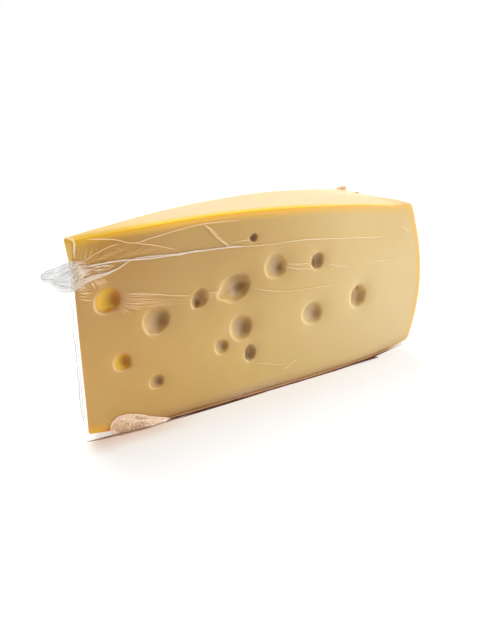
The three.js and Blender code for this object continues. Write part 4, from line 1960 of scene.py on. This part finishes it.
@dataclass(frozen=True)
class FilmPocket:
    """The gathered pocket of film at the foot of the front cut, with its tail."""

    tree: NodeTree
    upper: Path = (
        (11, 3.6), (11.7, 7.2), (14.6, 9.6), (18.5, 9.9), (21.4, 9.4), (26.1, 7.8),
        (32.1, 4.8), (36.4, 3.2), (42.4, 1),
    )
    foot: Path = (
        (11.2, -0.2), (14, -0.4), (18, -0.8), (22.2, -1.3), (26, -1.7), (31, -2),
        (36, -1.8), (42.4, -0.9),
    )
    steps: tuple[int, int] = (150, 48)
    bulge: float = 1.5
    crumples: tuple[tuple[float, float, int], ...] = (
        (5.5, 0.5, 21), (2.4, 0.26, 22), (1.2, 0.14, 23),
    )
    gather: Pair = (24.5, 8.6)
    gathers: int = 22
    gather_depth: float = 0.4
    gather_reach: float = 9.0
    rays: int = 34
    wall: float = 0.1
    # Both glow a little in their milky colours: painted light.
    gathered: FilmFinish = FilmFinish(
        "film_gathered", 0.42, (0.95, 0.70, 0.47), 0.9, 0.2, grain=0.28, painted_glow=0.1
    )
    creased: FilmFinish = FilmFinish(
        "film_gather_creased", 0.5, (1.0, 0.87, 0.73), 1.0, 0.2, painted_glow=0.22
    )

    def grid(self) -> Points:
        """The pocket's shape.

        Returns:
            A grid of points, from its foot to its upper edge.
        """
        columns, rows = self.steps
        high, low = run(self.upper, columns), run(self.foot, columns)
        top = np.column_stack([high[:, 0], np.full(columns, -0.65), high[:, 1]])
        base = np.column_stack([low, np.full(columns, 0.3)])
        grid = between(base, top, rows)
        up = np.linspace(0, 1, rows)[:, None]
        along = np.linspace(0, 1, columns)[None, :]
        belly = np.sin(math.pi * up**0.8) * np.sin(math.pi * np.clip(along * 1.05, 0, 1)) ** 0.5
        loose = smooth(0.0, 0.12, up) * smooth(1.0, 0.86, up)
        flat = grid.reshape(-1, 3)
        rough = np.zeros((rows, columns))
        for size, depth, seed in self.crumples:
            rough += depth * facets(flat, size, seed).reshape(rows, columns)
        away = grid[..., [0, 2]] - np.array(self.gather)
        ray = np.arctan2(away[..., 1], away[..., 0])
        near = np.exp(-((np.hypot(away[..., 0], away[..., 1]) / self.gather_reach) ** 2))
        rough += self.gather_depth * np.sin(self.gathers * ray) * near
        grid[..., 1] -= self.bulge * belly + (0.35 + 0.65 * belly) * loose * rough
        grid[..., 1] = np.minimum(grid[..., 1], -0.55)
        grid[..., 2] += 0.35 * loose * facets(flat, 3.0, 31).reshape(rows, columns)
        grid[..., 2] = np.maximum(grid[..., 2], 0.2)
        return grid

    def lines(self, grid: Points) -> Lines:
        """The lines on the pocket: its edge, the rays of its gathers and its long folds.

        Args:
            grid: the pocket's grid.

        Returns:
            Each line's points, and its width.
        """
        chance = np.random.default_rng(9)
        proud = np.array([0.0, -0.16, 0.03])
        lines = [(grid[-1] + proud, 0.5), (grid[-5] + proud, 0.3)]
        for turn in np.linspace(0, 2 * math.pi, self.rays, endpoint=False):
            start = np.array([0.72, 0.36]) + chance.normal(scale=(0.06, 0.02))
            way = np.array([math.sin(turn) * chance.uniform(0.3, 0.9), math.cos(turn) * 0.3])
            end = start + way * chance.uniform(0.4, 1.0)
            ray = traced(grid, tuple(start), tuple(end)) + proud
            lines.append((ray, chance.uniform(0.14, 0.36)))
        for place in (0.2, 0.35, 0.5, 0.62, 0.75):
            start = (place, 0.5 + chance.uniform(0, 0.1))
            end = (place * 0.7 + 0.25, 0.99)
            lines.append((traced(grid, start, end) + proud, chance.uniform(0.25, 0.45)))
        return lines

    def build(self) -> Pieces:
        """Builds and dresses the pocket.

        Returns:
            The pieces.
        """
        grid = self.grid()
        creases = FilmLines("film_pocket_creases", self.creased, 1, 0.9, 260, 31)
        return [
            film_mesh("film_pocket", self.gathered, sheets(self.wall, grid)),
            creases.build(self.tree, self.lines(grid)),
        ]


@dataclass(frozen=True)
class FilmLoose:
    """Loose film along the edges: beside the tip, over the rim and under the foot."""

    skin: WedgeSkin
    tree: NodeTree
    hem_line: Path = (
        (-0.4, 1.2), (5.4, 0.1), (14, -0.8), (22.2, -1.9), (31, -2.4), (40.3, -1.6),
        (58.7, -1.2), (82.5, -1.1), (121, -0.6), (158, -0.4),
    )
    foot_line: Path = (
        (34, 1.7), (50, 1), (84, 0.9), (112, 0.9), (138, 1), (160, 1.8),
        (176, 3), (186, 4.2), (195, 5.4),
    )
    crown_line: Path = (
        (-0.9, 6.9, 99.9), (-0.4, 5, 100.1), (0.3, 2.6, 100), (1.2, 0.4, 99.7),
        (1.5, -0.9, 98), (1.2, -1, 95.4), (0.9, -1, 92),
    )
    wall: float = 0.08
    web_span: Pair = (4.0, 77.0)
    web_steps: tuple[int, int] = (150, 9)
    far_span: Pair = (112.0, 186.0)
    tufts: tuple[tuple[tuple[float, ...], tuple[float, ...], int], ...] = (
        ((182.6, 48.6, 89.4), (2.9, 1.4, 1.4), 51),
        ((184.6, 49.6, 89.0), (1.8, 1.0, 0.8), 52),
        ((152.5, 43.6, 93.3), (1.6, 0.8, 0.4), 53),
    )
    tuft_steps: tuple[int, int] = (14, 24)

    def tip_web(self) -> Points:
        """The narrow web that stands off the tip's edge, below the ear.

        Returns:
            A grid of points, from the cheese outwards.
        """
        count, rows_out = self.web_steps
        heights = np.linspace(*self.web_span, count)
        rows = np.column_stack([heights, heights, heights])
        reach = 1.6 + 0.5 * swells(rows, 16.0, 41) + 0.16 * swells(rows, 5.0, 42)
        reach *= smooth(3.0, 22.0, heights) * (0.8 + 0.4 * smooth(60.0, 77.0, heights))
        inner = np.column_stack([np.full(count, 0.1), np.full(count, 0.6), heights])
        outer = np.column_stack([-0.5 - reach, 1.6 + 0.3 * swells(rows, 11.0, 43), heights])
        return between(inner, outer, rows_out)

    def far_edge(self) -> Points:
        """The line of film that stands over the rear edge of the top.

        Returns:
            Rows of x, y, z.
        """
        along = np.linspace(*self.far_span, 90)
        lift = 0.55 + 0.2 * np.sin(along / 7.0) + 0.15 * np.sin(along / 3.1)
        up = self.skin.wheel.top(along) + lift
        return REAR.at(along, up, np.full(len(along), 0.3))

    def tuft(self, place: tuple[float, ...], size: tuple[float, ...], seed: int) -> Points:
        """A little crumpled lump of film.

        Args:
            place: its middle.
            size: half its length, depth and height.
            seed: which shape.

        Returns:
            Rows by columns of points, from pole to pole.
        """
        rows, columns = self.tuft_steps
        turn = np.linspace(0, 2 * math.pi, columns, endpoint=False)[None, :]
        tilt = np.linspace(0.02, math.pi - 0.02, rows)[:, None]
        flat = np.sin(tilt)
        ball = np.stack(
            [flat * np.cos(turn), flat * np.sin(turn), np.cos(tilt) * np.ones_like(turn)], axis=-1
        )
        rough = 1 + 0.3 * facets(ball.reshape(-1, 3), 0.9, seed).reshape(rows, columns)
        return ball * rough[..., None] * np.array(size) + np.array(place)

    def lump(self, parts: MeshParts, ball: Points) -> None:
        """Adds a lump, closed at both poles.

        Args:
            parts: what the mesh is gathered in.
            ball: rows by columns of points, from pole to pole.
        """
        rows = [parts.add(ring) for ring in ball]
        for first, second in zip(rows, rows[1:]):
            parts.strip(first, second, closed=True)
        for ring, points in ((rows[0], ball[0]), (rows[-1], ball[-1])):
            parts.fan(ring, int(parts.add(points.mean(axis=0)[None])[0]))

    def flat_pieces(self, web: Points) -> Pieces:
        """Builds and dresses the web beside the tip and the lumps at the rim.

        Args:
            web: the web's grid.

        Returns:
            The pieces.
        """
        clear = FilmFinish("film_loose", 0.06, (0.66, 0.66, 0.66), 1.0, 0.2)
        milky = FilmFinish("film_tufted", 0.55, (0.84, 0.60, 0.36), 1.0, 0.3)
        lumps = MeshParts()
        for place, size, seed in self.tufts:
            self.lump(lumps, self.tuft(place, size, seed))
        return [
            film_mesh("film_web", clear, sheets(self.wall, web)),
            film_mesh("film_tufts", milky, lumps),
        ]

    def build(self) -> Pieces:
        """Builds and dresses the loose film.

        Returns:
            The pieces.
        """
        web = self.tip_web()
        edges = [(web[-1][6:-4], 0.34), (web[4][12:-20], 0.2), (self.far_edge(), 0.2)]
        hem = curved(self.hem_line, 1.0)
        hem = np.column_stack([hem, np.full(len(hem), 0.25)])
        foot = curved(self.foot_line, 1.0)
        under = np.column_stack([foot[:, 0], np.full(len(foot), -0.62), foot[:, 1]])
        near = under + [0, -0.25, -0.75]
        base = hem[40:]
        low = base + [0, -0.7, 0]
        pale = hem[2:60] + [0, -0.5, 0.1]
        contact_shadow = [(hem[12:44], 0.8), (near, 0.9), (base, 0.8), (low[:60], 0.7)]
        dash = np.column_stack([np.linspace(182.3, 185.7, 8), np.linspace(37.4, 35.2, 8)])
        dash = np.column_stack([dash, self.skin.wheel.top(np.hypot(*dash.T)) + 0.45])
        crown = [(run(self.crown_line, 60), 0.8)]
        # Name; the finish; strands, spread, wave, seed and taper; the lines.
        plans = (
            ("film_edges", ("film_edged", 0.55, (0.58, 0.56, 0.53), 0.8, 0.25),
             (1, 0.3, 120, 41, 6), edges),
            # The crown's whitish strands are a fold of film over the tip's top corner, with a
            # painted highlight in their colour and glow.
            ("film_crown", ("film_crowned", 0.26, (1.0, 0.90, 0.62), 0.4, 0.35, 0.1),
             (3, 1.8, 90, 47, 4), crown),
            # The hem's dark lines are painted shadow along the foot of the front cut and under the
            # tip, the warm line along the foot is painted shade, and the tail, the hem's loose end
            # by the tip, is grey-brown with painted shadow.
            ("film_hem", ("film_hem_damp", 0.85, (0.15, 0.055, 0.03), 0.2, 0.4),
             (2, 0.5, 60, 42, 30), contact_shadow),
            ("film_hem_tail", ("film_hem_tail", 0.4, (0.42, 0.28, 0.22), 0.4, 0.3),
             (3, 1.0, 60, 46, 10), [(hem[:24], 1.1)]),
            ("film_hem_rim", ("film_hem_warm", 0.8, (0.62, 0.34, 0.17), 0.3, 0.4),
             (2, 0.5, 90, 45, 20), [(under, 1.0)]),
            ("film_hem_folds", ("film_hem_pale", 0.55, (0.92, 0.66, 0.54), 0.8, 0.3),
             (2, 1.6, 80, 43, 12), [(pale, 0.4)]),
            ("film_rim_crease", ("film_rim_creased", 0.7, (0.40, 0.25, 0.13), 0.3, 0.3),
             (1, 0.2, 90, 44, 2), [(dash, 0.5)]),
        )
        return self.flat_pieces(web) + [
            FilmLines(name, FilmFinish(*finish), *strands).build(self.tree, lines)
            for name, finish, strands, lines in plans
        ]


@dataclass
class FilmSkin:
    """The film where it lies tight on the cheese."""

    skin: WedgeSkin

    def build(self) -> Pieces:
        """Builds and dresses the skin."""
        finish = HazedFilmFinish("film_clear", milk=0.012)
        return [film_mesh("film_skin", finish, self.skin.parts())]


@dataclass(frozen=True)
class ViewCamera:
    """The camera, where the wedge was looked at from."""

    place: Triple = (-91.51, -291.90, 192.92)
    heading: float = 30.91
    down: float = 23.53
    focal: float = 739.68
    image_height: float = 640.0
    sensor: float = 36.0

    def build(self) -> None:
        """Adds the camera to the scene."""
        data = bpy.data.cameras.new("view")
        data.sensor_width = self.sensor
        data.lens = self.focal * self.sensor / self.image_height
        data.clip_start = 0.01
        data.clip_end = 50.0
        camera = linked("view", data)
        turn = Matrix.Rotation(math.radians(-self.heading), 4, "Z")
        tilt = Matrix.Rotation(math.radians(90 - self.down), 4, "X")
        spot = placed(np.array([self.place]))[0]
        camera.matrix_world = Matrix.Translation(Vector(spot)) @ turn @ tilt
        bpy.context.scene.camera = camera


@dataclass(frozen=True)
class SoftLight:
    """A square soft light that looks at a point."""

    name: str
    place: Triple
    target: Triple
    size: float
    power: float
    mirrored: bool = True

    def build(self) -> None:
        """Adds the light to the scene."""
        data = bpy.data.lights.new(self.name, "AREA")
        data.shape = "SQUARE"
        data.size = self.size
        data.energy = self.power
        lamp = linked(self.name, data)
        lamp.visible_glossy = self.mirrored
        lamp.location = self.place
        aim = Vector(self.target) - Vector(self.place)
        lamp.rotation_euler = aim.to_track_quat("-Z", "Y").to_euler()


@dataclass
class Studio:
    """White floor, white surroundings and soft lights, with painted shadow and painted warm
    light on the floor round the wedge.
    """

    floor_size: float = 30.0
    # The painted shadow round the wedge's footprint: where it lies, how it fades and its colour;
    # and the painted warm light and shade in front of the foot.
    covered: Pair = (46.0, 176.0)
    tip_fade: float = 0.22
    shade_edge: Pair = (-0.4, 2.6)
    floor_white: float = 0.5
    floor_shade: Colour = (0.30, 0.13, 0.075)
    near_warm_light: Colour = (0.965, 0.92, 0.87)
    foot_warm_light: Colour = (0.80, 0.64, 0.54)
    floor_glow: float = 0.56
    far_glow: float = 1.0
    ambient: float = 0.4
    lights: tuple[SoftLight, ...] = (
        SoftLight("top_light", (0.1, 0.65, 1.0), (0.0, 0.05, 0.05), 0.9, 16.0, mirrored=False),
        SoftLight("right_light", (0.9, -0.45, 0.6), (0.0, 0.0, 0.05), 0.7, 9.0, mirrored=False),
        SoftLight("glint_light", (0.75, -0.55, 0.75), (0.0, 0.0, 0.05), 0.12, 0.35),
    )

    def build(self) -> None:
        """Adds floor, surroundings and lights."""
        self.floor()
        self.surroundings()
        for light in self.lights:
            light.build()
        scene = bpy.context.scene
        scene.view_settings.view_transform = "Standard"
        scene.view_settings.look = "None"

    def floor(self) -> None:
        """Adds the floor, which glows less towards the wedge, with painted shadow round the
        wedge's footprint and painted warm light and shade in front of its foot.
        """
        half = self.floor_size / 2
        mesh = bpy.data.meshes.new("floor")
        corners = [(-half, -half, 0), (half, -half, 0), (half, half, 0), (-half, half, 0)]
        mesh.from_pydata(corners, [], [(0, 1, 2, 3)])
        floor = linked("floor", mesh)
        tree = new_tree("floor_white")
        where = tree.value("ShaderNodeTexCoord", "Object")
        away = tree.value("ShaderNodeVectorMath", "Value", {"operation": "LENGTH"}, {0: where})
        along, across, _ = tree.place()
        # Painted shadow: the floor is darker and does not glow under the wedge and in a thin band
        # round its footprint, wider under the pocket and softer under the raised tip.
        behind = (across - TIP_WIDTH - along * math.tan(CUT_ANGLE)) * math.cos(CUT_ANGLE)
        tip_gap = (self.covered[0] - along) * self.tip_fade
        ahead = 0 - across
        front_gap = ahead * (1 + along.step(90, 140) * 1.2)
        outside = front_gap.most(behind).most(tip_gap).most(along - self.covered[1])
        pocket = along.step(11, 15) * along.step(47, 41)
        under_pocket = ahead - 0.4 + (1 - pocket) * 1000
        outside = outside.least(under_pocket.most(behind)).step(*self.shade_edge)
        glow = self.floor_glow + (self.far_glow - self.floor_glow) * away.step(0.25, 1.0)
        glow = glow * outside
        # Painted warm light and shade from the cheese in front of its foot, deeper by the tip and
        # the pocket.
        near = ahead.step(28, 3) * ahead.step(-6, 1) * along.step(250, 110) * along.step(-30, 5)
        low = ahead.step(15, 1.5) * ahead.step(-2, 1) * along.step(-6, 8) * along.step(64, 26)
        white = self.toned(tree, near, low, self.floor_white)
        paper = {"Color": tree.blend(outside, self.floor_shade, white)}
        matt = tree.value("ShaderNodeBsdfDiffuse", 0, None, paper)
        lit = {"Color": tree.blend(glow, (0.0, 0.0, 0.0), self.toned(tree, near, low, 1.0))}
        shine = tree.value("ShaderNodeEmission", 0, None, lit)
        tree.finish(tree.value("ShaderNodeAddShader", 0, None, {0: matt, 1: shine}))
        mesh.materials.append(tree.owner)

    def toned(self, tree: ShaderTree, near: Value, low: Value, level: float) -> Value:
        """White of a level, tinted by painted warm light and shade from the cheese, faint `near`
        and deeper `low`.
        """
        faint, deep = (tuple(level * v for v in tone) for tone in (self.near_warm_light, self.foot_warm_light))
        return tree.blend(low, tree.blend(near, (level,) * 3, faint), deep)

    def surroundings(self) -> None:
        """Fills the world with white, brighter where the camera looks at it."""
        world = bpy.data.worlds.new("white_room")
        bpy.context.scene.world = world
        tree = ShaderTree(world)
        seen = tree.value("ShaderNodeLightPath", "Is Camera Ray")
        white = (1.0, 1.0, 1.0)
        lit = {"Color": white, "Strength": self.ambient + (1.0 - self.ambient) * seen}
        tree.finish(tree.value("ShaderNodeBackground", 0, None, lit), "ShaderNodeOutputWorld")


def main() -> None:
    """Builds every piece in order."""
    logging.basicConfig(level=logging.INFO, format="%(name)s: %(message)s")
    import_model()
    wheel = Wheel()
    film = WedgeSkin(
        wheel, is_film=True, grow=0.3, lift=0.42, edge_round=1.1, loop_spacing=2.2,
        across=14, face_spacing=2.2, ring_points=44, ring_steps=18,
    )
    ViewCamera().build()
    Studio().build()
    tree = fold_tree()
    makers = (
        Cheese(wheel),
        FilmSkin(film),
        FilmFolds(film, tree),
        FilmEar(tree),
        FilmPocket(tree),
        FilmLoose(film, tree),
    )
    for maker in makers:
        for piece in maker.build():
            log.info("%s: %d faces", piece.name, len(piece.data.polygons))


if __name__ == "__main__":
    main()
